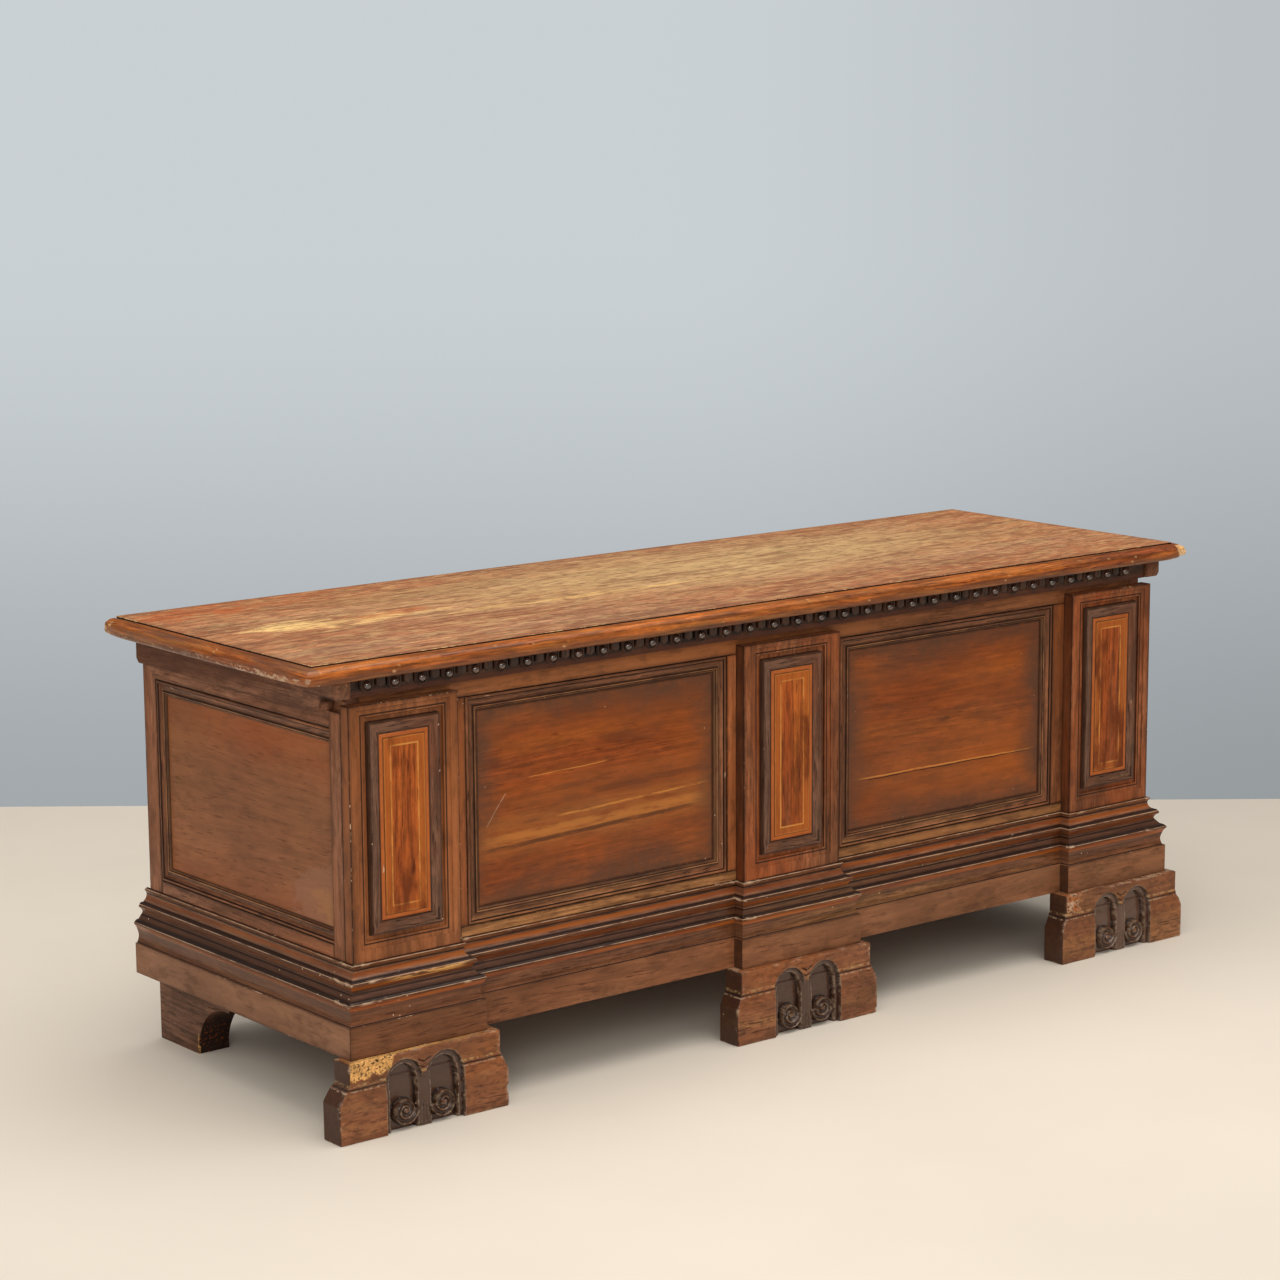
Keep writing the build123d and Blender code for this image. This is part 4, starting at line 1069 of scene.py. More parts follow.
class CASSONE_OT_lid(bpy.types.Operator):
    """Lid board with its bleached top, cleats and worn edge moulding"""

    bl_idname = "cassone.lid"
    bl_label = "Lid"

    OUTLINE = [
        (0, 0, 0),
        (20.0, 0, -0.8),
        (22.5, 6.0, -0.3),
        (22.5, 13.0, -1.9),
        (16.0, 21.0, -0.4),
        (2.8, 22.5, 0),
        (2.4, 19.0, 0),
        (0, 19.0, 0),
    ]

    def execute(self, context):
        set_material(NODES["lid_board"], self.board_material())
        soften(NODES["lid_board"], 0.0008)
        for side in SIDES:
            tints = (("red", 0.4), ("dark", 0.4))
            board_wood("lid_cleat_" + side, "Y", "plum", 0.8, tints, worn=0.16, dirt=0.3)
        low, high = LID_LOW, LID_HIGH
        path = [(low[0], high[1]), (low[0], low[1]), (high[0], low[1]), (high[0], high[1])]
        names = ("lid_moulding_left", "lid_moulding_front", "lid_moulding_right")
        outline = spaced(bent(self.OUTLINE, 8), 0.0015)
        outline[:, 1] += low[2]
        pieces = moulding("lid_edge", path, outline, self.wear, step=0.004)
        material = self.edge_material()
        for piece, node in zip(pieces, names):
            dress(piece, material, "lid")
            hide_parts(node)
        return {"FINISHED"}

    def wear(self, projection, height, where):
        """Waviness all along, and wood lost at the right front and the left rear corner."""
        wear = bpy.context.scene.cassone_wear
        nose = ease(projection, 0.006, 0.02)
        rub = rough_noise(where, (0.05, 0.05, 0.02), 11)
        chips = rough_noise(where, 0.009, 17)
        ends = [
            (LID_HIGH[0] + LID_NOSE, LID_LOW[1] - LID_NOSE, 0.030, 0.9),
            (LID_LOW[0] - LID_NOSE, LID_LOW[1] - LID_NOSE, 0.009, 0.2),
            (LID_LOW[0] - LID_NOSE, LID_HIGH[1], 0.024, 0.45),
            (LID_HIGH[0] + LID_NOSE, LID_HIGH[1], 0.018, 0.5),
        ]
        lost = np.zeros_like(projection)
        for x, y, reach, amount in ends:
            away = np.hypot(where[..., 0] - x, where[..., 1] - y)
            lost = np.maximum(lost, amount * np.exp(-((away / reach) ** 2)))
        corner = lost * (1 + 0.6 * chips)
        inward = nose * (wear.nose * ease(rub, 0.0, 0.8) + wear.corner * corner)
        inward += wear.waver * rub
        up = height - LID_LOW[2]
        down = wear.corner * 0.5 * corner * (ease(up, 0.010, 0.020) - ease(-up, -0.008, 0))
        bare = ease(lost + 0.4 * chips, 0.42, 0.6)
        left_lip = np.exp(-(((up - 0.007) / 0.003) ** 2)) * (where[..., 0] < LID_LOW[0])
        nicks = ease(chips + 0.12 * left_lip, 0.52, 0.62) * nose * (0.45 + 0.55 * left_lip)
        return inward + 0.0007 * nicks, down, np.maximum(bare, nicks)

    def board_material(self):
        """Mauve-brown board, bleached in a broken streak and a broad faded field."""
        wood = Wood("lid_board_walnut", "X", 3.7)
        wood.grain(rgb("mauve", 0.76), rgb("mauve", 1.02), rgb("mauve", 1.28), 1.0, 1.1)
        sheet = wood.sheet
        middle = (LID_LOW + LID_HIGH) / 2

        def within(x, y, long, wide, inner, outer):
            """1 inside an ellipse on the lid, fading to 0 outside it."""
            away = sheet.vector("SUBTRACT", wood.point, (middle[0] + x, middle[1] + y, LID_HIGH[2]))
            scaled = sheet.vector("MULTIPLY", away, (1 / long, 1 / wide, 0.0))
            return sheet.band(sheet.reach(scaled), inner, outer, 1.0, 0.0)

        wood.blotches(
            ("red", 1.25, 2.0, 0.5, 0.16, 0.8, 2.6, 0.35),
            ("plum", 1.0, 3.0, 0.45, 0.14, 0.7, 2.6, 0.4),
            ("orange", 1.05, 2.7, 0.6, 0.18, 0.6, 2.2, 0.3),
        )
        patches = (
            ("red", 1.5, (-0.76, 0.20, 0.16, 0.09, 0.1, 1.2), 9.0, (0.8, 1.6, 1.6), 0.55),
            ("brown", 0.9, (-0.79, 0.06, 0.06, 0.05, 0.1, 1.4), 14.0, (0.8, 1.6, 1.6), 0.5),
            ("olive", 1.0, (-0.40, 0.14, 0.28, 0.07, 0.1, 1.3), 12.0, (0.5, 2.2, 2.2), 0.6),
            ("dark", 1.6, (-0.22, 0.15, 0.06, 0.03, 0.1, 1.4), 20.0, (0.5, 2.0, 2.0), 0.5),
            ("plum", 1.25, (-0.62, -0.18, 0.50, 0.06, 0.1, 1.2), 9.0, (0.5, 2.2, 2.2), 0.5),
        )
        for tone, shade, place, scale, along, strength in patches:
            wood.patch(rgb(tone, shade), within(*place), scale, along, strength)
        field = within(0.14, 0.05, 0.74, 0.20, 0.2, 1.15)
        wood.blotch(rgb("tan", 0.80), 4.2, 0.95, 0.16, (0.6, 4.0, 4.0), field, 0.5)
        wood.blotch(rgb("tan", 0.95), 15.0, 0.62, 0.08, (0.5, 3.6, 3.6), field, 0.6)
        streaks = (
            (-0.66, 0.015, 0.18, 0.060, 1.2, 18.0),
            (-0.48, -0.003, 0.10, 0.020, 1.2, 26.0),
            (-0.385, -0.033, 0.09, 0.016, 1.2, 26.0),
            (-0.12, -0.045, 0.46, 0.016, 1.05, 22.0),
            (-0.68, 0.022, 0.12, 0.034, 1.5, 30.0),
        )
        for x, y, long, wide, tone, scale in streaks:
            inside = within(x, y, long, wide, 0.0, 1.5)
            wood.patch(rgb("gold", tone), inside, scale, (0.5, 2.0, 2.0), 0.9)
        inside = within(-0.53, 0.02, 0.14, 0.03, 0.0, 1.3)
        wood.patch(rgb("red", 1.5), inside, 40.0, (0.4, 2.4, 2.4), 0.6)
        wood.blotches(
            ("brown", 1.0, 18.0, 0.42, 0.07, 0.4, 2.6, 0.55),
            ("tan", 1.0, 55.0, 0.40, 0.06, 0.5, 2.0, 0.4),
            ("dark", 1.8, 70.0, 0.40, 0.06, 0.5, 2.0, 0.5),
        )
        wood.flecks(60, 0.0014, 0.10, 0.8)
        parts = sheet.parts(wood.point)
        # side: a band on the board's front and ends just below its top, laid black further down
        side = sheet.band(parts[2], LID_HIGH[2] - 0.0011, LID_HIGH[2] - 0.0006, 1.0, 0.0)
        above = sheet.band(parts[2], LID_HIGH[2] - 0.006, LID_HIGH[2] - 0.005)
        ahead = sheet.band(parts[1], LID_HIGH[1] - 0.004, LID_HIGH[1] - 0.002, 1.0, 0.0)
        side = sheet.times(side, above, ahead)
        under = wood.facing((0, 0, -1))
        wood.lay(under, rgb("dry", 0.9), 0.85)
        wood.blotch(rgb("dark", 2.0), 5.0, 0.45, 0.16, (0.3, 2.4, 2.4), under, 0.45)
        wood.blotch(rgb("dark", 2.0), 30.0, 0.42, 0.1, (0.1, 2.4, 2.4), under, 0.4)
        wood.lay(wood.facing((0, 1, 0)), rgb("brown", 0.8), 0.6)
        edge = wood.edge("lid_board")
        wood.seam(edge, 0.012, 0.35, rgb("brown"))
        wood.wear(edge, rgb("tan", 1.1), 0.0016, 0.42)
        # dirt and painted shade in the gap between the board and its edge moulding
        wood.lay(side, rgb("black", 0.7))
        wood.worm(75, 0.0011, 0.2)
        return wood.done(0.5, 0.0002, 0.0, 0.2, 0.3)

    def edge_material(self):
        """Glossy orange-brown moulding, darker below and raw where its corners are worn."""
        wood = Wood("lid_edge_walnut", uv=True, seed=1.3)
        wood.grain(rgb("red", 0.82), rgb("orange", 0.68), rgb("orange", 0.9), 1.0, 1.1)
        sheet = wood.sheet
        parts = sheet.parts(wood.point)
        under = sheet.band(parts[2], LID_LOW[2] + 0.003, LID_LOW[2] + 0.0105, 0.75, 0.0)
        wood.lay(under, rgb("dark", 1.6))
        left = sheet.band(parts[0], LID_LOW[0] - 0.002, LID_LOW[0], 0.5, 0.0)
        wood.blotch(rgb("red", 0.7), 9.0, 0.5, 0.1, (0.4, 1.0, 1.0), left)
        wood.blotch(rgb("plum", 0.7), 22.0, 0.42, 0.08, (0.3, 1.4, 1.4), left, 1.2)
        wood.blotches(
            ("dark", 1.3, 36.0, 0.40, 0.12, 0.16, 1.4, 0.5),
            ("dark", 1.0, 90.0, 0.40, 0.06, 0.05, 1.8, 0.5),
            ("string", 0.9, 60.0, 0.36, 0.08, 0.12, 1.4, 0.25),
        )
        # dirt and painted shade in the moulding's hollows
        wood.lay(wood.given("hollow"), rgb("black"), 0.9)
        lip = sheet.band(wood.given("across"), 0.0045, 0.0025)
        upper = sheet.band(parts[2], LID_LOW[2] + 0.0212, LID_LOW[2] + 0.0222)
        lip = sheet.times(lip, upper)
        wood.lay(lip, rgb("bare"), 0.2)
        corner = (LID_LOW[0] - LID_NOSE, LID_LOW[1] - LID_NOSE, 0.64)
        mitre = sheet.reach(sheet.vector("SUBTRACT", wood.point, corner))
        near = sheet.band(mitre, 0.001, 0.011, 1.0, 0.0)
        wood.patch(rgb("bare", 0.8), near, 200.0, (1.0, 1.0, 1.0), 0.5)
        low = sheet.band(parts[2], LID_LOW[2] + 0.0075, LID_LOW[2] + 0.0105, 0.7, 0.0)
        ahead = sheet.band(parts[1], LID_LOW[1] + 0.12, LID_LOW[1] + 0.30, 1.0, 0.3)
        chipped = sheet.times(low, ahead, left, 2.0)
        chips = wood.speckle(((60, 60, 120), 5.0, 0.75), 0.52, 0.57)
        wood.lay(sheet.times(chipped, chips), rgb("bare", 1.0))
        bare = wood.given("bare")
        wood.lay(bare, rgb("raw"))
        white = wood.speckle((260.0, 2.0), 0.5, 0.56)
        wood.lay(sheet.times(bare, white), rgb("bare", 1.25))
        wood.worm(130, 0.0012, 0.75, within=bare)
        return wood.done(0.36, 0.0003, 0.3, 0.2, 0.15, 0.16)


class CASSONE_OT_pearls(bpy.types.Operator):
    """The dark strip under the lid with its rings, pearls and keeled tongues"""

    bl_idname = "cassone.pearls"
    bl_label = "Pearl strip"

    # Lengths of the strip: how many steps each has, and its pitch in millimetres.
    LENGTHS = ((12, 44.75), (12, 46.6), (9, 42.2))

    def execute(self, context):
        settings = context.scene.cassone_carving
        low, high = corners("pearl_strip")
        wood = Wood("pearl_strip_walnut", "X", 6.2)
        wood.grain(rgb("black", 1.6), rgb("dark", 0.75), rgb("dark", 1.25), 1.0)
        wood.blotch(rgb("black"), 30.0, 0.5, 0.1)
        height = wood.sheet.parts(wood.point)[2]
        band = wood.sheet.band(height, low[2] + 0.0055, low[2] + 0.0095, 0.55, 0.0)
        wood.lay(band, rgb("red", 0.3))
        set_material(NODES["pearl_strip"], wood.done(0.36, shine=0.3))
        soften(NODES["pearl_strip"], 0.0005)

        places = [low[0] + settings.first_pearl]
        for count, pitch in self.LENGTHS:
            places += [places[-1] + pitch * MM * (i + 1) for i in range(count)]
        places = np.array(places)
        level = high[2] - settings.pearl_drop
        spots = np.stack([places, np.full_like(places, low[1]), np.full_like(places, level)], 1)
        tops = np.array([0.0, 0.0, high[2] - level])
        middles = (places[1:] + places[:-1]) / 2
        between = np.stack(
            [middles, np.full_like(middles, low[1]), np.full_like(middles, high[2])], 1
        )

        glossy, dull = self.polish("pearl_walnut", 1.9, 1.0), self.polish("tongue_walnut", 1.5, 0.3)
        pieces = [
            (repeated("pearls", self.dome(settings.pearl), spots), glossy),
            (repeated("pearl_rings", self.horseshoe(settings.ring, tops[2]), spots), dull),
            (repeated("tongues", self.keel(), between), dull),
        ]
        for piece, material in pieces:
            dress(piece, material, "lid")
        return {"FINISHED"}

    def dome(self, radius):
        """Half a ball that stands out towards -Y: rings of points from its rim to its crown."""
        rise = np.linspace(-0.25, 0.5 * math.pi, 8)[:, None]
        turn = np.linspace(0, 2 * math.pi, 16, endpoint=False)[None, :]
        wide = radius * np.maximum(np.cos(rise), 1e-3)
        out = radius * 0.95 * np.sin(rise) + 0 * turn
        return np.stack([wide * np.cos(turn), -out, wide * np.sin(turn)], axis=-1)

    def horseshoe(self, radius, top):
        """A round bar bent down one side of a pearl, under it and up the other side."""
        turn = np.linspace(math.pi, 2 * math.pi, 15)
        x = np.concatenate([[-radius], radius * np.cos(turn), [radius]])
        z = np.concatenate([[top], radius * np.sin(turn), [top]])
        away = np.stack([np.concatenate([[-1], np.cos(turn), [1]]), 0 * x], axis=1)
        away[:, 1] = np.concatenate([[0], np.sin(turn), [0]])
        round_bar = np.linspace(0, -2 * math.pi, 8, endpoint=False)
        bar = 0.0011
        spread, out = bar * np.cos(round_bar), bar * np.sin(round_bar)
        points_x = x[:, None] + away[:, :1] * spread
        points_z = z[:, None] + away[:, 1:] * spread
        return np.stack([points_x, 0 * points_x - out[None, :], points_z], axis=-1)

    def keel(self):
        """A tongue with a ridge down its middle and a point below."""
        half, length, proud, point = 0.0062, 0.0165, 0.0026, 0.0045
        sections = [(0.0, 1.0), (length - point, 1.0), (length, 0.08)]
        rows = [
            [(-half * w, 0.0, -z), (-half * w, -0.0006, -z), (0.0, -proud * w, -z),
             (half * w, -0.0006, -z), (half * w, 0.0, -z)]
            for z, w in sections
        ]
        return np.array(rows)[::-1]

    def polish(self, name, lustre, coat):
        wood = Wood(name, "Z", 8.1)
        wood.grain(rgb("dark", 0.35), rgb("dark", 0.6), rgb("dark", 1.1), 1.0)
        return wood.done(0.34, 0.0001, coat, 0.1, 0.15, 0.07, lustre)


class CASSONE_OT_front(bpy.types.Operator):
    """Front frame, its two panels and their mitred mouldings"""

    bl_idname = "cassone.front"
    bl_label = "Front"

    OUTLINE = [
        (0, 0, 0),
        (22, 0, 0),
        (22, 0.9, -0.6),
        (19.4, 3.6, 0),
        (18.9, 2.9, 0),
        (18.4, 4.4, -0.5),
        (15.8, 4.6, 0),
        (15.3, 3.0, 1.1),
        (6.6, 5.2, 0),
        (6.1, 4.2, 0),
        (5.4, 6.3, -0.7),
        (1.6, 6.3, 0),
        (1.3, 2.6, 0),
        (0, 2.6, 0),
    ]

    def execute(self, context):
        board_wood("front_top_rail", "X", "brown", 1.1, (("olive", 0.7), ("red", 0.4)))
        board_wood("front_bottom_rail", "X", "olive", 1.08, (("olive", 1.0), ("red", 0.2)))
        shades = {"front_stile_left": 1.15, "front_stile_right": 1.15, "front_muntin": 1.75}
        for node, shade in shades.items():
            board_wood(node, "Z", "brown", shade, (("red", 0.8), ("olive", 0.3)), dirt=0.95)
        outline = spaced(bent(self.OUTLINE, 4), 0.0015)
        material = panel_moulding_material("front_panel_moulding_walnut")
        for side in SIDES:
            node = "front_panel_moulding_" + side
            low, high = corners(node)
            path = ring_path(low[0], high[0], low[2], high[2])
            pieces = moulding(
                node + "_worn", path, outline, thin_wear, True, 0.006, onto_front(high[1])
            )
            for piece in pieces:
                dress(piece, material, "chest")
            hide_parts(node)
            self.panel(side, low, high)
        return {"FINISHED"}

    # Cracks and scratches of each panel: start, end as (x, z), width, colour, strength.
    MARKS = {
        "left": [
            ((-0.600, 0.366), (-0.100, 0.380), 0.0360, "string", 0.14),
            ((-0.560, 0.362), (-0.130, 0.374), 0.0100, "string", 0.26),
            ((-0.420, 0.384), (-0.130, 0.394), 0.0020, "string", 0.5),
            ((-0.560, 0.418), (-0.300, 0.430), 0.0050, "dark", 0.35),
            ((-0.560, 0.350), (-0.150, 0.364), 0.0040, "dark", 0.75),
            ((-0.470, 0.448), (-0.320, 0.452), 0.0010, "string", 0.6),
            ((-0.540, 0.385), (-0.505, 0.432), 0.0009, "bare", 0.6),
            ((-0.360, 0.412), (-0.120, 0.418), 0.0060, "dark", 0.35),
        ],
        "right": [
            ((0.150, 0.352), (0.560, 0.350), 0.0016, "string", 0.6),
            ((0.150, 0.349), (0.560, 0.348), 0.0012, "black", 0.85),
            ((0.330, 0.420), (0.540, 0.424), 0.0060, "dark", 0.35),
        ],
    }

    def panel(self, side, low, high):
        """Red polished middle, grimy margins, cracks along the grain and a few worm holes."""
        node = "front_panel_" + side
        wood = Wood(node + "_walnut", "X", {"left": 5.1, "right": 9.4}[side])
        wood.grain(rgb("red", 0.58), rgb("red", 0.80), rgb("orange", 0.58), 1.3)
        sheet = wood.sheet
        margin = wood.margin(low, high, 0.022)
        wood.blotches(
            ("orange", 0.72, 2.4, 0.6, 0.16, 0.7, 3.6, 0.6),
            ("brown", 0.8, 3.2, 0.5, 0.16, 0.7, 2.6, 0.5),
            ("red", 0.5, 4.5, 0.5, 0.15, 0.6, 2.6, 0.5),
            ("dark", 1.4, 26.0, 0.36, 0.10, 0.5, 1.6, 0.35),
        )
        for start, end, width, tone, strength in self.MARKS[side]:
            wood.stroke(start, end, width, rgb(tone), strength)
        ragged = sheet.math("MULTIPLY_ADD", sheet.noise(wood.point, 8.0, 5.0, 0.65), 0.11, -0.055)
        near = sheet.band(sheet.math("ADD", margin, ragged), -0.010, 0.058, 1.0, 0.0)
        fine = wood.speckle((70.0, 4.0, 0.7), 0.3, 0.6, 0.65, 1.0)
        near = sheet.times(near, fine)
        stain = sheet.mix(0.5, rgb("dark", 1.1), rgb("plum", 0.55))
        wood.lay(near, stain, 0.95)
        wood.seam(margin, 0.005, 0.8, rgb("dark", 0.5))
        low_margin = sheet.band(margin, 0.02, 0.06, 1.0, 0.15)
        wood.flecks(70, 0.0013, 0.30, 0.6, low_margin)
        wood.worm(58, 0.0011, 0.4)
        set_material(NODES[node], wood.done(0.42, 0.0002))
        soften(NODES[node])


def thin_wear(projection, height, where):
    """Wear of a small moulding: a slight waver, and bare wood only in scattered nicks."""
    waver = bpy.context.scene.cassone_wear.waver
    drift = smooth_noise(where, 0.06, 23)
    nick = rough_noise(where, 0.006, 29)
    rare = smooth_noise(where, 0.045, 31)
    bare = ease(nick + 0.25 * rare, 0.72, 0.82) * ease(height, 0.003, 0.004)
    return np.zeros_like(height), waver * (0.5 + 0.5 * drift) * ease(height, 0.001, 0.003), bare


def panel_moulding_material(name):
    """Dirt and painted shade in quirks and hollow, olive rounds, and a pale rubbed inner bead."""
    wood = Wood(name, uv=True, seed=2.9)
    wood.grain(rgb("brown", 0.6), rgb("brown", 0.95), rgb("olive", 0.95), 1.2)
    sheet = wood.sheet
    across = wood.given("across")
    bead = sheet.times(
        sheet.band(across, 0.0148, 0.0158), sheet.band(across, 0.0184, 0.0190, 1.0, 0.0)
    )
    rubbed = wood.speckle((16.0, 4.0, 0.65), 0.42, 0.58)
    wood.lay(sheet.times(bead, rubbed), rgb("olive", 1.3), 0.6)
    outer = sheet.times(sheet.band(across, 0.0190, 0.0196), rubbed)
    wood.lay(outer, rgb("olive", 1.1), 0.5)
    wood.blotch(rgb("dark", 0.9), 18.0, 0.42, 0.12, (0.2, 1.0, 1.0), strength=0.5)
    # dirt and painted shade in the hollows
    wood.lay(wood.given("hollow"), rgb("black", 1.2), 0.6)
    # dark lines in the quirks, and below at the moulding's outer foot and inner edge: dirt and
    # painted shade
    for quirk in (0.0055, 0.0160, 0.0190):
        off = sheet.apart(across, quirk)
        wood.lay(sheet.band(off, 0.0004, 0.0011, 0.9, 0.0), rgb("black"))
    wood.lay(sheet.band(across, 0.0011, 0.0016, 0.95, 0.0), rgb("black"))
    wood.lay(sheet.band(across, 0.0198, 0.0206, 0.0, 0.7), rgb("black", 1.6))
    wood.lay(wood.given("bare"), rgb("bare"), 0.7)
    wood.flecks(80, 0.0010, 0.12, 0.8)
    return wood.done(0.36, shine=0.16, coat=0.1)


class CASSONE_OT_ends(bpy.types.Operator):
    """The two ends: frame, panel and the moulding on three sides of the panel"""

    bl_idname = "cassone.ends"
    bl_label = "Ends"

    def execute(self, context):
        outline = spaced(bent(CASSONE_OT_front.OUTLINE, 4), 0.0015)
        material = panel_moulding_material("side_panel_moulding_walnut")
        for side, way in zip(SIDES, (-1, 1)):
            for part, grain in (
                ("side_front_stile_", "Z"),
                ("side_rear_stile_", "Z"),
                ("side_top_rail_", "Y"),
                ("side_bottom_rail_", "Y"),
            ):
                board_wood(part + side, grain, "plum", 1.1, (("red", 0.45), ("olive", 0.2)))
            node = "side_panel_moulding_" + side
            low, high = corners(node)
            front, rear = way * low[1], way * high[1]
            path = [(front, low[2]), (rear, low[2]), (rear, high[2]), (front, high[2])]
            if way > 0:
                path = path[::-1]
            face = high[0] if way < 0 else low[0]
            pieces = moulding(
                node + "_worn", path, outline, thin_wear, False, 0.006, onto_end(face, way)
            )
            for piece in pieces:
                dress(piece, material, "chest")
            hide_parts(node)
            self.panel(side, low, high)
        return {"FINISHED"}

    def panel(self, side, low, high):
        """Brown board, redder towards its top and bottom, with scattered worm holes."""
        node = "side_panel_" + side
        wood = Wood(node + "_walnut", "Y", {"left": 12.2, "right": 15.8}[side])
        wood.grain(rgb("brown", 1.0), rgb("brown", 1.32), rgb("brown", 1.6), 1.2, 0.45)
        sheet = wood.sheet
        height = sheet.parts(wood.point)[2]
        span = high[2] - low[2]
        top = sheet.band(height, high[2] - 0.42 * span, high[2] - 0.08 * span)
        foot = sheet.band(height, low[2] + 0.05 * span, low[2] + 0.3 * span, 0.6, 0.0)
        warm = sheet.math("ADD", top, foot, clamp=True)
        wood.blotch(rgb("red", 1.0), 4.0, 0.9, 0.18, (0.9, 2.0, 2.0), warm, 0.6)
        wood.blotches(
            ("olive", 0.85, 3.2, 0.5, 0.16, 0.8, 1.8, 0.4),
            ("dark", 1.8, 3.6, 0.5, 0.16, 0.8, 1.6, 0.4),
            ("dark", 1.6, 40.0, 0.3, 0.10, 0.6, 1.4, 0.3),
        )
        parts = sheet.parts(wood.point)
        ahead = sheet.band(parts[1], 0.05, -0.18)
        low_right = sheet.times(ahead, sheet.band(parts[2], 0.42, 0.30))
        wood.patch(rgb("plum", 1.3), low_right, 5.0, (1.0, 1.6, 1.6), 0.5)
        wood.patch(rgb("olive", 1.1), sheet.times(low_right, 0.7), 9.0, (0.8, 1.6, 1.6), 0.5)
        wood.seam(wood.edge(node), 0.03, 0.45, rgb("dark", 1.2))
        wood.worm(58, 0.0011, 0.5)
        set_material(NODES[node], wood.done(0.4, 0.00015))
        soften(NODES[node])


class CASSONE_OT_pilasters(bpy.types.Operator):
    """Pilasters, their mitred mouldings and the tablets with pale stringing"""

    bl_idname = "cassone.pilasters"
    bl_label = "Pilasters"

    OUTLINE = [
        (0, 0, 0),
        (24.5, 0, 0),
        (24.5, 4.6, -1.6),
        (18.6, 4.8, 0),
        (18.1, 3.9, 0),
        (2.6, 7.1, 0),
        (2.2, 6.4, 0),
        (0.4, 7.4, 0),
        (0, 5.4, 0),
    ]

    def execute(self, context):
        outline = spaced(bent(self.OUTLINE, 4), 0.0015)
        material = self.moulding_material()
        for place in PLACES:
            returns = 0.0 if place == "left" else 0.55
            node = "pilaster_" + place
            tints = (("olive", 0.5), ("red", 0.4)) if place == "left" else (("red", 0.7),)
            worn = 0.28 if place == "left" else 0.22
            sunk = "tablet_moulding_" + place
            board_wood(node, "Z", "brown", 1.15, tints, worn, 0.004, 0.85, returns, sunk=sunk)
            node = sunk
            low, high = corners(node)
            path = ring_path(low[0], high[0], low[2], high[2])
            pieces = moulding(
                node + "_worn", path, outline, thin_wear, True, 0.005, onto_front(high[1])
            )
            for piece in pieces:
                dress(piece, material, "chest")
            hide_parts(node)
            self.tablet("tablet_" + place)
        return {"FINISHED"}

    def moulding_material(self):
        """A dark bevel, and a ridge beside the tablet as orange as the tablet."""
        wood = Wood("tablet_moulding_walnut", uv=True, seed=7.7)
        wood.grain(rgb("plum", 0.42), rgb("plum", 0.62), rgb("plum", 0.85), 1.0)
        sheet = wood.sheet
        ridge = sheet.band(wood.given("across"), 0.0180, 0.0186)
        wood.blotches(
            ("red", 0.55, 9.0, 0.4, 0.12, 0.4, 1.0, 0.5),
            ("dark", 0.8, 24.0, 0.4, 0.12, 0.2, 1.0, 0.4),
        )
        warm = sheet.mix(sheet.noise(wood.point, 60.0, 3.0), rgb("red", 0.9), rgb("orange", 0.95))
        wood.lay(ridge, warm, 0.9)
        # dirt and painted shade in the hollows and, on the next line, along the outer edge by the
        # pilaster's step
        wood.lay(wood.given("hollow"), rgb("black"), 0.85)
        wood.lay(sheet.band(wood.given("across"), 0.0006, 0.0022, 0.6, 0.0), rgb("black", 1.3))
        wood.lay(wood.given("bare"), rgb("bare"), 0.85)
        wood.flecks(80, 0.0016, 1.0, 0.8, sheet.band(wood.given("across"), 0.0050, 0.0020))
        return wood.done(0.36, shine=0.16, coat=0.1)

    def tablet(self, node):
        """Red walnut with a paler line let in parallel to its edges."""
        low, high = corners(node)
        wood = Wood(node + "_walnut", "Z", low[0] * 3)
        wood.grain(rgb("brown", 0.85), rgb("red", 0.82), rgb("orange", 0.62), 1.3)
        sheet = wood.sheet
        margin = wood.margin(low, high)
        border = sheet.band(margin, 0.0098, 0.0104, 1.0, 0.0)
        wood.lay(border, rgb("orange", 0.74), 0.6)
        outer = sheet.band(margin, 0.0016, 0.0026, 0.5, 0.0)
        wood.lay(outer, rgb("string", 0.85))
        line = sheet.apart(margin, 0.0119)
        line = sheet.band(line, 0.0009, 0.0016, 1.0, 0.0)
        worn = wood.speckle((22.0, 4.0, 0.6), 0.3, 0.6, 0.25, 0.95)
        wood.lay(sheet.times(line, worn), rgb("string", 0.85))
        wood.blotch(rgb("red", 0.45), 12.0, 0.3, 0.07, (0.5, 1.5, 1.5))
        wood.seam(margin, 0.0016, 0.7, rgb("dark", 0.8))
        wood.worm(70, 0.001, 0.35)
        set_material(NODES[node], wood.done(0.38, 0.0002))
        soften(NODES[node], 0.0005)


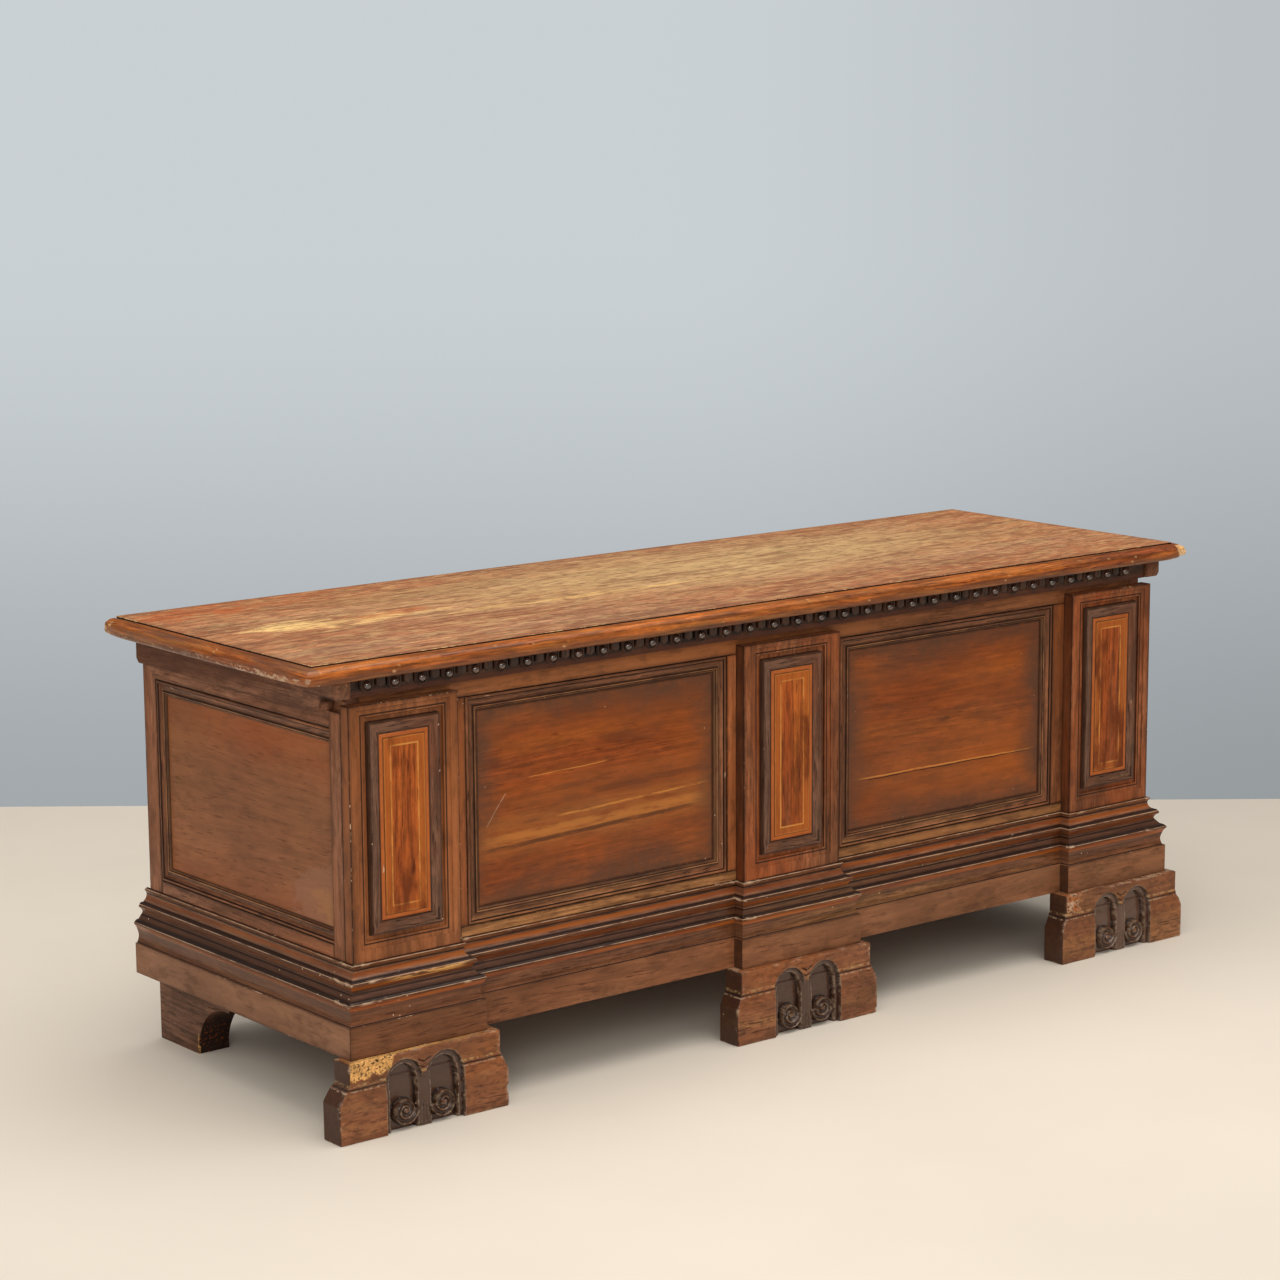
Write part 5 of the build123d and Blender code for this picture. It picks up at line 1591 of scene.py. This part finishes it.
class CASSONE_OT_plinth(bpy.types.Operator):
    """Fascia boards and the three worn courses above them"""

    bl_idname = "cassone.plinth"
    bl_label = "Plinth"

    OUTLINE = [
        (0, 0, 0),
        (21.0, 0, 2.4),
        (19.4, 19.0, 0.6),
        (24.2, 28.6, -0.7),
        (24.6, 31.6, -0.5),
        (18.6, 35.8, 0),
        (17.4, 35.2, 0),
        (10.6, 43.4, 0.9),
        (10.4, 48.0, 0.4),
        (14.4, 52.4, -1.4),
        (14.6, 57.4, -0.9),
        (9.4, 60.4, 0),
        (8.4, 59.8, 0),
        (4.2, 64.4, 0.8),
        (2.0, 72.4, 0.4),
        (4.8, 76.8, -0.5),
        (4.8, 79.4, 0),
        (0, 81.0, 0),
    ]

    def execute(self, context):
        for node, grain, returns in (
            ("plinth_board_front", "X", 0.75),
            ("plinth_board_rear", "X", 0.0),
            ("plinth_board_left", "Y", 0.0),
            ("plinth_board_right", "Y", 0.0),
        ):
            base = "brown" if node.endswith("front") else "plum"
            tints = (("olive", 0.4), ("plum", 0.4))
            board_wood(node, grain, base, 1.1, tints, 0.3, 0.0016, 0.5, returns, fine=0.5)
        outline = spaced(bent(self.OUTLINE, 5), 0.0017)
        outline[:, 1] += FASCIA_TOP
        pieces = moulding("plinth_course", self.wall_path(), outline, self.wear, step=0.004)
        material = self.course_material()
        for piece in pieces:
            dress(piece, material, "chest")
        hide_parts("plinth_courses_left")
        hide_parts("plinth_courses_front")
        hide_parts("plinth_courses_right")
        return {"FINISHED"}

    def wall_path(self):
        """The line of the walls, forward round each pilaster, from left rear to right rear."""
        ends = [corners("pilaster_" + place) for place in PLACES]
        face, frame_plane = ends[0][0][1], ends[0][1][1]
        rear = corners("plinth_board_left")[1][1]
        (left_low, left_high), (mid_low, mid_high), (right_low, right_high) = ends
        return [
            (left_low[0], rear),
            (left_low[0], face),
            (left_high[0], face),
            (left_high[0], frame_plane),
            (mid_low[0], frame_plane),
            (mid_low[0], face),
            (mid_high[0], face),
            (mid_high[0], frame_plane),
            (right_low[0], frame_plane),
            (right_low[0], face),
            (right_high[0], face),
            (right_high[0], rear),
        ]

    def wear(self, projection, height, where):
        """Lips rubbed thin, chipped here and there and most at the outer corners."""
        wear = bpy.context.scene.cassone_wear
        level = height - FASCIA_TOP
        lips = np.zeros_like(height)
        for lip, thick in ((0.0308, 0.0016), (0.0566, 0.0016), (0.0788, 0.0014)):
            lips = np.maximum(lips, np.exp(-(((level - lip) / thick) ** 2)))
        chips = rough_noise(where, (0.009, 0.009, 0.006), 41)
        long_wear = smooth_noise(where, (0.13, 0.13, 0.05), 47)
        corner = np.zeros_like(height)
        path = np.array(self.wall_path())
        for x, y in path[[1, 2, 5, 6, 9, 10]]:
            away = np.hypot(where[..., 0] - x, where[..., 1] - y)
            corner = np.maximum(corner, np.exp(-((np.maximum(away - 0.026, 0) / 0.022) ** 2)))
        loss = ease(chips + 0.3 * long_wear + 0.2 * corner, 0.35, 0.9)
        inward = lips * (wear.lip * loss + 0.0003) + wear.waver * long_wear
        bare = lips * ease(chips + 0.25 * long_wear + 0.45 * corner, 0.68, 0.8)
        return inward, 0 * height, bare

    def course_material(self):
        """Nearly black hollows, glossy red-brown rounds and pale lips."""
        wood = Wood("plinth_course_walnut", uv=True, seed=4.4)
        wood.grain(rgb("brown", 0.6), rgb("brown", 0.95), rgb("olive", 0.9), 1.2)
        sheet = wood.sheet
        wood.lay(wood.facing((-1, 0, 0)), rgb("plum", 0.65), 0.5)
        level = sheet.parts(wood.point)[2]
        level = sheet.math("SUBTRACT", level, FASCIA_TOP)

        def zone(low, high, strength=1.0):
            """1 between two heights above the fascia in millimetres, fading over 0.8 mm."""
            rise = sheet.band(level, (low - 0.4) * MM, (low + 0.4) * MM, 0.0, strength)
            fall = sheet.band(level, (high - 0.4) * MM, (high + 0.4) * MM, 1.0, 0.0)
            return sheet.times(rise, fall)

        # red and orange bands on the rounds: their own tone brightened as painted highlight, weaker
        # on faces that look left
        wander = sheet.noise(wood.point, (3.5, 3.5, 60.0), 3.0, 0.6)
        warm = sheet.mix(sheet.band(wander, 0.42, 0.6), rgb("red", 0.75), rgb("orange", 0.68))
        strong = sheet.band(wander, 0.3, 0.52, 0.35, 1.0)
        ahead = sheet.math("MULTIPLY_ADD", wood.facing((-1, 0, 0)), -0.6, 1.0)
        strong = sheet.times(strong, ahead)
        for low, high in ((22.0, 28.5), (46.0, 52.5), (64.0, 69.5)):
            wood.lay(sheet.times(zone(low, high, 0.85), strong), warm)
        # dirt and painted shade in the hollows
        wood.lay(wood.given("hollow"), rgb("dark", 0.5), 0.6)
        # darker bands on the lips below their pale top lines and in the coves: painted shade
        for low, high in ((29.0, 31.0), (53.5, 56.8), (77.0, 79.0)):
            wood.lay(zone(low, high, 0.6), rgb("dark", 0.7))
        wood.lay(zone(32.2, 42.5, 0.7), rgb("dark", 0.6))
        wood.lay(zone(1.4, 22.0, 0.4), rgb("dark", 0.9))
        # black in the quirks: dirt and painted shade
        quirks = ((-1.0, 1.4), (32.2, 35.5), (41.0, 43.0), (58.0, 61.0), (71.5, 73.5), (79.9, 82.0))
        for low, high in quirks:
            wood.lay(zone(low, high, 0.9), rgb("black", 0.8))
        # a golden stretch on the middle round at the left: painted highlight
        along = sheet.parts(wood.point)[0]
        golden_glint = sheet.times(
            sheet.band(along, -0.75, -0.70), sheet.band(along, -0.63, -0.59, 1.0, 0.0)
        )
        ragged = wood.speckle(((14, 14, 160), 4.0, 0.7), 0.42, 0.56)
        golden_glint = sheet.times(golden_glint, ragged, zone(49.0, 57.0, 0.9))
        wood.lay(golden_glint, rgb("raw", 1.1))
        # thin pale lines along the tops of the lips: painted highlight over rubbed wood
        broken = wood.speckle(((30, 30, 400), 4.0, 0.7), 0.40, 0.54, 0.12, 0.9)
        for lip in (0.0314, 0.0573, 0.0793):
            off = sheet.apart(level, lip)
            line = sheet.times(sheet.band(off, 0.0002, 0.0005, 0.9, 0.0), broken)
            wood.lay(line, rgb("bare", 0.9))
        wood.lay(wood.given("bare"), rgb("bare"), 0.8)
        wood.flecks(70, 0.0014, 0.22)
        corner = sheet.vector("SUBTRACT", wood.point, (*self.wall_path()[1], 0.15))
        corner = sheet.reach(corner)
        wood.flecks(110, 0.0014, 0.9, 0.9, sheet.band(corner, 0.03, 0.13, 1.0, 0.0))
        return wood.done(0.32, coat=0.26, shine=0.1, film=0.12)


def band_blur(values, count):
    """Moving average of a grid over 2 * count + 1 neighbours along both of its axes."""
    for axis in (0, 1):
        widths = [(count, count) if i == axis else (0, 0) for i in (0, 1)]
        padded = np.pad(values, widths, mode="edge")
        size = values.shape[axis]
        slices = [np.take(padded, range(i, i + size), axis=axis) for i in range(2 * count + 1)]
        values = sum(slices) / len(slices)
    return values


class CASSONE_OT_feet(bpy.types.Operator):
    """Carved front feet and bracket feet at the back"""

    bl_idname = "cassone.feet"
    bl_label = "Feet"

    # Heights in millimetres, and how far the block stands in from its widest at each, for its
    # two ends and for its front: a plain base, a slope, a small ledge and a plain top.
    LEVELS = (0, 54, 57, 73.5, 75, 77, 78.4, 112)
    END_INSET = (0, 0, 0.7, 8.4, 9.0, 9.0, 11.0, 11.0)
    FRONT_INSET = (0, 0, 0.4, 2.5, 2.7, 2.7, 4.2, 4.0)

    def execute(self, context):
        for seed, place in enumerate(PLACES):
            self.carved(place, seed)
        for side in SIDES:
            self.rear(side)
        return {"FINISHED"}

    def carving(self, x, z):
        """Depth of the carving below the block's face.

        Two arched niches have a stepped rim and a deep floor. In each niche a volute stands on
        the floor: at angle t from the stem, down and round, its ridge lies at the radius
        volute - coil * t / (2 pi), turn within turn. A fan of three lobes hangs between them, and
        two chevrons are cut over the stem.
        """
        cut = bpy.context.scene.cassone_carving
        a = np.abs(x)
        radius = (cut.niche_edge - cut.stem) / 2
        middle = cut.stem + radius
        spring = cut.crown - radius
        up = np.maximum(z - spring, 0)
        inside = radius - np.hypot(a - middle, up)
        depth = cut.rim_depth * ease(inside, -0.0006, 0.0010)
        depth += (cut.recess - cut.rim_depth) * ease(inside, cut.rim - 0.0006, cut.rim + 0.0012)
        stem = ease(spring - z, -0.012, 0.004) * (a < cut.stem + 0.0006)
        depth = np.maximum(depth, (cut.rim_depth - 0.0006) * stem)

        # volutes
        side, high = a - cut.volute_offset, z - cut.volute_height
        reach = np.hypot(side, high)
        turn = np.mod(np.arctan2(-high, -side), 2 * math.pi) / (2 * math.pi)
        coil = (cut.volute - reach) / cut.coil - turn
        part = coil - np.round(coil)
        ridge = np.exp(-((part * cut.coil / 0.0016) ** 2))
        face = 0.0072 - 0.0052 * ridge
        eye = np.hypot(side, high) < 0.0042
        face = np.where(eye, 0.0024 + 0.0012 * (reach / 0.0042) ** 2, face)
        within = ease(coil, -0.16, -0.05)
        depth = np.where(within > 0, depth + (np.minimum(depth, face) - depth) * within, depth)

        # fan between the volutes
        lobe = np.abs(np.mod(x / (0.004 + 0.10 * np.clip(0.034 - z, 0, 1)) + 0.5, 1) - 0.5)
        fan_half = 0.0045 + 0.28 * np.clip(0.034 - z, 0, 1)
        fan = ease(fan_half - a, 0, 0.0012) * ease(z, 0.004, 0.0055) * ease(0.036 - z, 0, 0.004)
        depth = depth + (0.0036 + 0.0035 * lobe - depth) * fan

        # chevrons over the stem
        for start in (0.083, 0.0915):
            off = z - start - 0.5 * a
            line = np.exp(-((off / 0.0011) ** 2)) * ease(0.0125 - a, 0, 0.004)
            depth = depth + 0.0026 * line * (inside < 0)
        return depth

    def carved(self, place, seed):
        node = "front_foot_" + place
        low, high = corners(node)
        centre, half = (low[0] + high[0]) / 2, (high[0] - low[0]) / 2
        step = bpy.context.scene.cassone_carving.step
        corner = 0.0022
        near_end = np.array([0, 0.0005, 0.0012])
        top = high[2]
        rows = np.linspace(0.002, top - 0.002, int((top - 0.004) / step))
        z = np.concatenate([near_end, rows, top - near_end[::-1]])
        to_end = np.minimum(z, top - z)
        soft = 0.0018 - np.sqrt(np.maximum(0.0018**2 - np.maximum(0.0018 - to_end, 0) ** 2, 0))
        end_in = np.interp(z / MM, self.LEVELS, self.END_INSET) * MM + soft
        front_in = np.interp(z / MM, self.LEVELS, self.FRONT_INSET) * MM + soft
        wide = half - end_in

        columns = int(2 * half / step)
        across = np.linspace(-1, 1, columns)[None, :] * (wide - corner)[:, None]
        level = np.broadcast_to(z[:, None], across.shape)
        where = np.stack([across + centre, 0 * across, level], axis=2)
        waver = smooth_noise(where, 0.006, 60 + seed)
        depth = self.carving(across + 0.0004 * waver, level + 0.0004 * waver)
        depth += 0.0003 * rough_noise(where, 0.02, 63 + seed) + 0.00012 * waver
        eaten = self.eaten(place, across, level, where)
        pits = ease(rough_noise(where, 0.0032, 71, 2), 0.25, 0.5)
        depth += eaten * (0.0012 + 0.0016 * pits)
        front = low[1] + front_in[:, None] + depth

        quarter = np.linspace(0, 0.5 * math.pi, 5)[1:-1]
        arc_x = (wide - corner)[:, None] + corner * np.sin(quarter)
        arc_y = (low[1] + front_in)[:, None] + corner * (1 - np.cos(quarter))
        back = (high[1] - soft)[:, None]
        start = (low[1] + front_in + corner)[:, None]
        side_y = start + (back - start) * np.linspace(0, 1, 16)[None, :]
        side_x = np.broadcast_to(wide[:, None], side_y.shape)
        rear_x = wide[:, None] * np.linspace(0.8, -0.8, 9)[None, :]
        rear_y = np.broadcast_to(back, rear_x.shape)
        x = np.concatenate([across, arc_x, side_x, rear_x, -side_x[:, ::-1], -arc_x[:, ::-1]], 1)
        y = np.concatenate([front, arc_y, side_y, rear_y, side_y[:, ::-1], arc_y[:, ::-1]], 1)
        points = np.stack([x + centre, y, np.broadcast_to(z[:, None], x.shape)], axis=2)

        # the left foot's left end stands out below and is cut back above
        if place == "left":
            cut_back = np.interp(z / MM, (0, 55, 73, 78, 112), (-2, -2.5, 1, 6, 5)) * MM
            points[..., 0] += cut_back[:, None] * ease(-x, 0.07, 0.125)

        # rounded-off ends and knocks
        knock = rough_noise(points, 0.014, 81 + seed)
        to_corner = np.hypot(wide[:, None] - np.abs(x), y - low[1] - front_in[:, None])
        rubbed = np.exp(-((to_corner / 0.004) ** 2))
        loss = 0.0022 * rubbed * ease(knock, 0.1, 0.7)
        points[..., 0] -= np.sign(x) * loss
        points[..., 1] += loss

        crest = np.zeros_like(x)
        hollow = np.zeros_like(x)
        carved = np.zeros_like(x)
        # raised and sunk spots of the carving: the material gives crest pale flecks, rubbed wood
        # with painted highlight, and darkens hollow with painted shade
        difference = band_blur(depth, 2) - depth
        crest[:, :columns] = ease(difference, 0.00025, 0.0012)
        hollow[:, :columns] = ease(-difference, 0.0002, 0.0013)
        carved[:, :columns] = ease(depth, 0.0012, 0.0036) * (1 - eaten)
        raw = np.zeros_like(x)
        raw[:, :columns] = eaten
        ledge = np.exp(-(((z - 0.0752) / 0.0010) ** 2))[:, None]
        edge = np.maximum(rubbed, ledge * (carved < 0.3))
        edge = np.maximum(edge, 0.8 * np.exp(-((to_end / 0.0018) ** 2))[:, None] * (carved < 0.5))
        values = {"crest": crest, "hollow": hollow, "carved": carved, "raw": raw, "edge": edge}
        faces = grid_faces(*x.shape)
        piece = surface("carved_foot_" + place, points, faces, attributes=values, sharp=55)
        dress(piece, self.carved_material(place, seed), "chest")
        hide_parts(node)

    def eaten(self, place, x, z, where):
        """Mask of the worm-eaten wood: a ragged patch at the top left of the outer feet."""
        if place == "middle":
            return np.zeros_like(x)
        left, low = {"left": (-0.047, 0.088), "right": (-0.098, 0.084)}[place]
        ragged = rough_noise(where, 0.012, 91)
        aside = (left - x) / 0.008
        above = (z - low - 0.05 * np.clip(x + 0.09, -1, 1)) / 0.004
        return ease(np.minimum(aside, above) + 2.0 * ragged, 0.0, 0.6)

    def carved_material(self, place, seed):
        """Orange-brown blocks, grey-brown carving, rubbed arrises and worm-eaten wood."""
        wood = Wood("carved_foot_walnut_" + place, "X", 21.0 + 5 * seed)
        wood.grain(rgb("brown", 0.85), rgb("brown", 1.1), rgb("olive", 1.0), 1.2, 0.5)
        sheet = wood.sheet
        wood.blotches(
            ("orange", 0.55, 5.0, 0.5, 0.14, 0.6, 1.6, 0.5),
            ("dark", 1.3, 9.0, 0.42, 0.12, 0.6, 1.4, 0.5),
            ("olive", 1.3, 40.0, 0.3, 0.08, 0.5, 1.2, 0.25),
            ("dark", 1.0, 120.0, 0.4, 0.08, 0.6, 1.2, 0.5),
        )
        wood.lay(wood.facing((-1, 0, 0)), rgb("black", 2.2), 0.85)
        carved = rgb("plum", 0.42) if place == "right" else rgb("dark", 0.72)
        wood.lay(wood.given("carved"), carved, 0.93)
        # painted shade in the carving's hollows
        wood.lay(wood.given("hollow"), rgb("black"), 0.9)
        # pale flecks on the carving's ridges: rubbed wood with painted highlight
        flecks = wood.speckle((120.0, 4.0, 0.7), 0.42, 0.56)
        crest = sheet.times(wood.given("crest"), flecks)
        wood.lay(crest, rgb("bare", 0.5), 0.6)
        raw = wood.given("raw")
        pair = (rgb("orange", 0.7), rgb("bare", 0.9))
        if place == "left":
            pair = (rgb("raw", 0.7), rgb("raw", 1.15))
        tone = sheet.mix(wood.speckle((55.0, 3.0), 0.35, 0.65), *pair)
        wood.lay(raw, tone)
        pits = wood.speckle((260.0, 3.0, 0.65), 0.54, 0.60)
        wood.lay(sheet.times(pits, raw), rgb("black"))
        broken = wood.speckle((130.0, 4.0, 0.7), 0.44, 0.56)
        stretch = wood.speckle((22.0, 2.0), 0.44, 0.58)
        edge = sheet.times(wood.given("edge"), broken, stretch)
        wood.lay(edge, rgb("bare", 0.95), 0.6)
        wood.flecks(75, 0.0013, 0.22)
        wood.worm(80, 0.0011, 0.35)
        height = sheet.parts(wood.point)[2]
        plain = sheet.math("SUBTRACT", 1.0, wood.given("carved"), clamp=True)
        # a pale bead line and a pale rub line, rubbed wood with painted highlight, and between them
        # a dark line of painted shade in the crease
        lines = (
            (0.0798, 0.0026, 0.45, rgb("tan", 0.8), True),
            (0.0754, 0.0018, 0.90, rgb("black", 1.2), False),
            (0.0722, 0.0015, 0.55, rgb("bare", 0.8), True),
        )
        for middle, reach, strength, tone, in_bits in lines:
            off = sheet.apart(height, middle)
            line = sheet.times(sheet.band(off, 0.35 * reach, reach, strength, 0.0), plain)
            line = sheet.times(line, broken) if in_bits else line
            wood.lay(line, tone)
        gloss = sheet.math("MULTIPLY_ADD", wood.given("carved"), 0.6, 0.15)
        return wood.done(0.4, 0.00035, gloss, film=0.14, lustre=1.6)

    def rear(self, side):
        """Dark bracket, nearly black under its arch and bare along its lower front arris."""
        node = "rear_foot_" + side
        low, high = corners(node)
        wood = Wood(node + "_walnut", "Y", {"left": 31.0, "right": 37.0}[side])
        wood.grain(rgb("plum", 0.42), rgb("plum", 0.6), rgb("plum", 0.75), 1.0)
        sheet = wood.sheet
        wood.blotch(rgb("dark", 0.9), 9.0, 0.4, 0.14, strength=0.5)
        wood.lay(wood.facing((0, -1, 0)), rgb("black", 0.8), 0.92)
        parts = sheet.parts(wood.point)
        toe = high[1] - 0.109
        front = sheet.apart(parts[1], toe)
        front = sheet.band(front, 0.0010, 0.0035, 1.0, 0.0)
        outer = low[0] if side == "left" else high[0]
        out = sheet.apart(parts[0], outer)
        front = sheet.times(front, sheet.band(out, 0.0015, 0.0035, 1.0, 0.0))
        lower = sheet.band(parts[2], 0.018, 0.036, 1.0, 0.0)
        chips = wood.speckle((110.0, 4.0, 0.7), 0.42, 0.54)
        mask = sheet.times(front, lower, chips)
        wood.lay(mask, rgb("raw", 0.9), 0.9)
        flecks = wood.speckle((260.0, 2.0), 0.6, 0.66)
        flecks = sheet.times(flecks, wood.facing((0, -1, 0)))
        wood.lay(flecks, rgb("red", 0.9), 0.6)
        set_material(NODES[node], wood.done(0.5, 0.0004))
        soften(NODES[node], 0.0014)


class CASSONE_OT_back(bpy.types.Operator):
    """Back boards, floor boards and the iron hinges"""

    bl_idname = "cassone.back"
    bl_label = "Back and inside"

    def execute(self, context):
        for node in ("back_board_upper", "back_board_lower", "floor_boards"):
            wood = Wood(node + "_wood", "X", sum(map(ord, node)) * 0.11)
            wood.grain(rgb("dry", 0.55), rgb("dry"), rgb("dry", 1.4), 1.2)
            wood.blotches(
                ("dark", 1.8, 2.4, 0.45, 0.16, 0.6, 2.5, 0.45),
                ("dark", 1.2, 16.0, 0.3, 0.06, 0.3, 2.0, 0.5),
            )
            wood.worm(60, 0.0012, 0.4)
            if node != "floor_boards":
                wood.wear(wood.edge(node), rgb("bare", 0.6), 0.004, 0.25)
            set_material(NODES[node], wood.done(0.7, 0.0004))
            soften(NODES[node])
        iron = self.iron()
        for node in ("hinge_back_leaves", "hinge_lid_leaves", "hinge_pins"):
            set_material(NODES[node], iron)
            soften(NODES[node], 0.0004)
        return {"FINISHED"}

    def iron(self):
        """Dark forged iron, rusty in patches and pitted."""
        material = bpy.data.materials.new("hinge_iron")
        material.use_nodes = True
        material.node_tree.nodes.clear()
        sheet = Sheet(material.node_tree)
        point = sheet.add("ShaderNodeTexCoord").outputs["Object"]
        rust = sheet.band(sheet.noise(point, 60.0, 5.0, 0.7), 0.5, 0.68)
        tone = sheet.mix(rust, rgb("iron"), (0.12, 0.045, 0.018))
        pits = sheet.noise(point, 240.0, 3.0, 0.6)
        bump = sheet.add("ShaderNodeBump", {"Height": pits, "Distance": 0.0004}).outputs[0]
        shader = sheet.add(
            "ShaderNodeBsdfPrincipled",
            {
                "Base Color": tone,
                "Metallic": sheet.math("SUBTRACT", 0.9, rust, clamp=True),
                "Roughness": sheet.band(pits, 0.3, 0.7, 0.45, 0.7),
                "Normal": bump,
            },
        ).outputs[0]
        sheet.add("ShaderNodeOutputMaterial", {"Surface": shader})
        return material


class CASSONE_PT_panel(bpy.types.Panel):
    """Lists the groups of pieces and their settings"""

    bl_idname = "CASSONE_PT_panel"
    bl_label = "Cassone"
    bl_space_type = "VIEW_3D"
    bl_region_type = "UI"
    bl_category = "Cassone"

    def draw(self, context):
        for operator in OPERATORS:
            self.layout.operator(operator.bl_idname)
        for holder in SETTINGS:
            settings = getattr(context.scene, holder)
            box = self.layout.box()
            for key in settings.bl_rna.properties.keys():
                if key not in ("rna_type", "name"):
                    box.prop(settings, key)


SETTINGS = {
    "cassone_colours": CassoneColours,
    "cassone_wear": CassoneWear,
    "cassone_carving": CassoneCarving,
    "cassone_stage": CassoneStage,
}
OPERATORS = (
    CASSONE_OT_stage,
    CASSONE_OT_lid,
    CASSONE_OT_pearls,
    CASSONE_OT_front,
    CASSONE_OT_pilasters,
    CASSONE_OT_ends,
    CASSONE_OT_plinth,
    CASSONE_OT_feet,
    CASSONE_OT_back,
)
CLASSES = (*SETTINGS.values(), *OPERATORS, CASSONE_PT_panel)


def register():
    for cls in CLASSES:
        bpy.utils.register_class(cls)
    for name, cls in SETTINGS.items():
        setattr(bpy.types.Scene, name, PointerProperty(type=cls))


def unregister():
    for name in SETTINGS:
        delattr(bpy.types.Scene, name)
    for cls in reversed(CLASSES):
        bpy.utils.unregister_class(cls)


def main():
    register()
    make_groups()
    for operator in OPERATORS:
        group, action = operator.bl_idname.split(".")
        getattr(getattr(bpy.ops, group), action)()


if __name__ == "__main__":
    main()
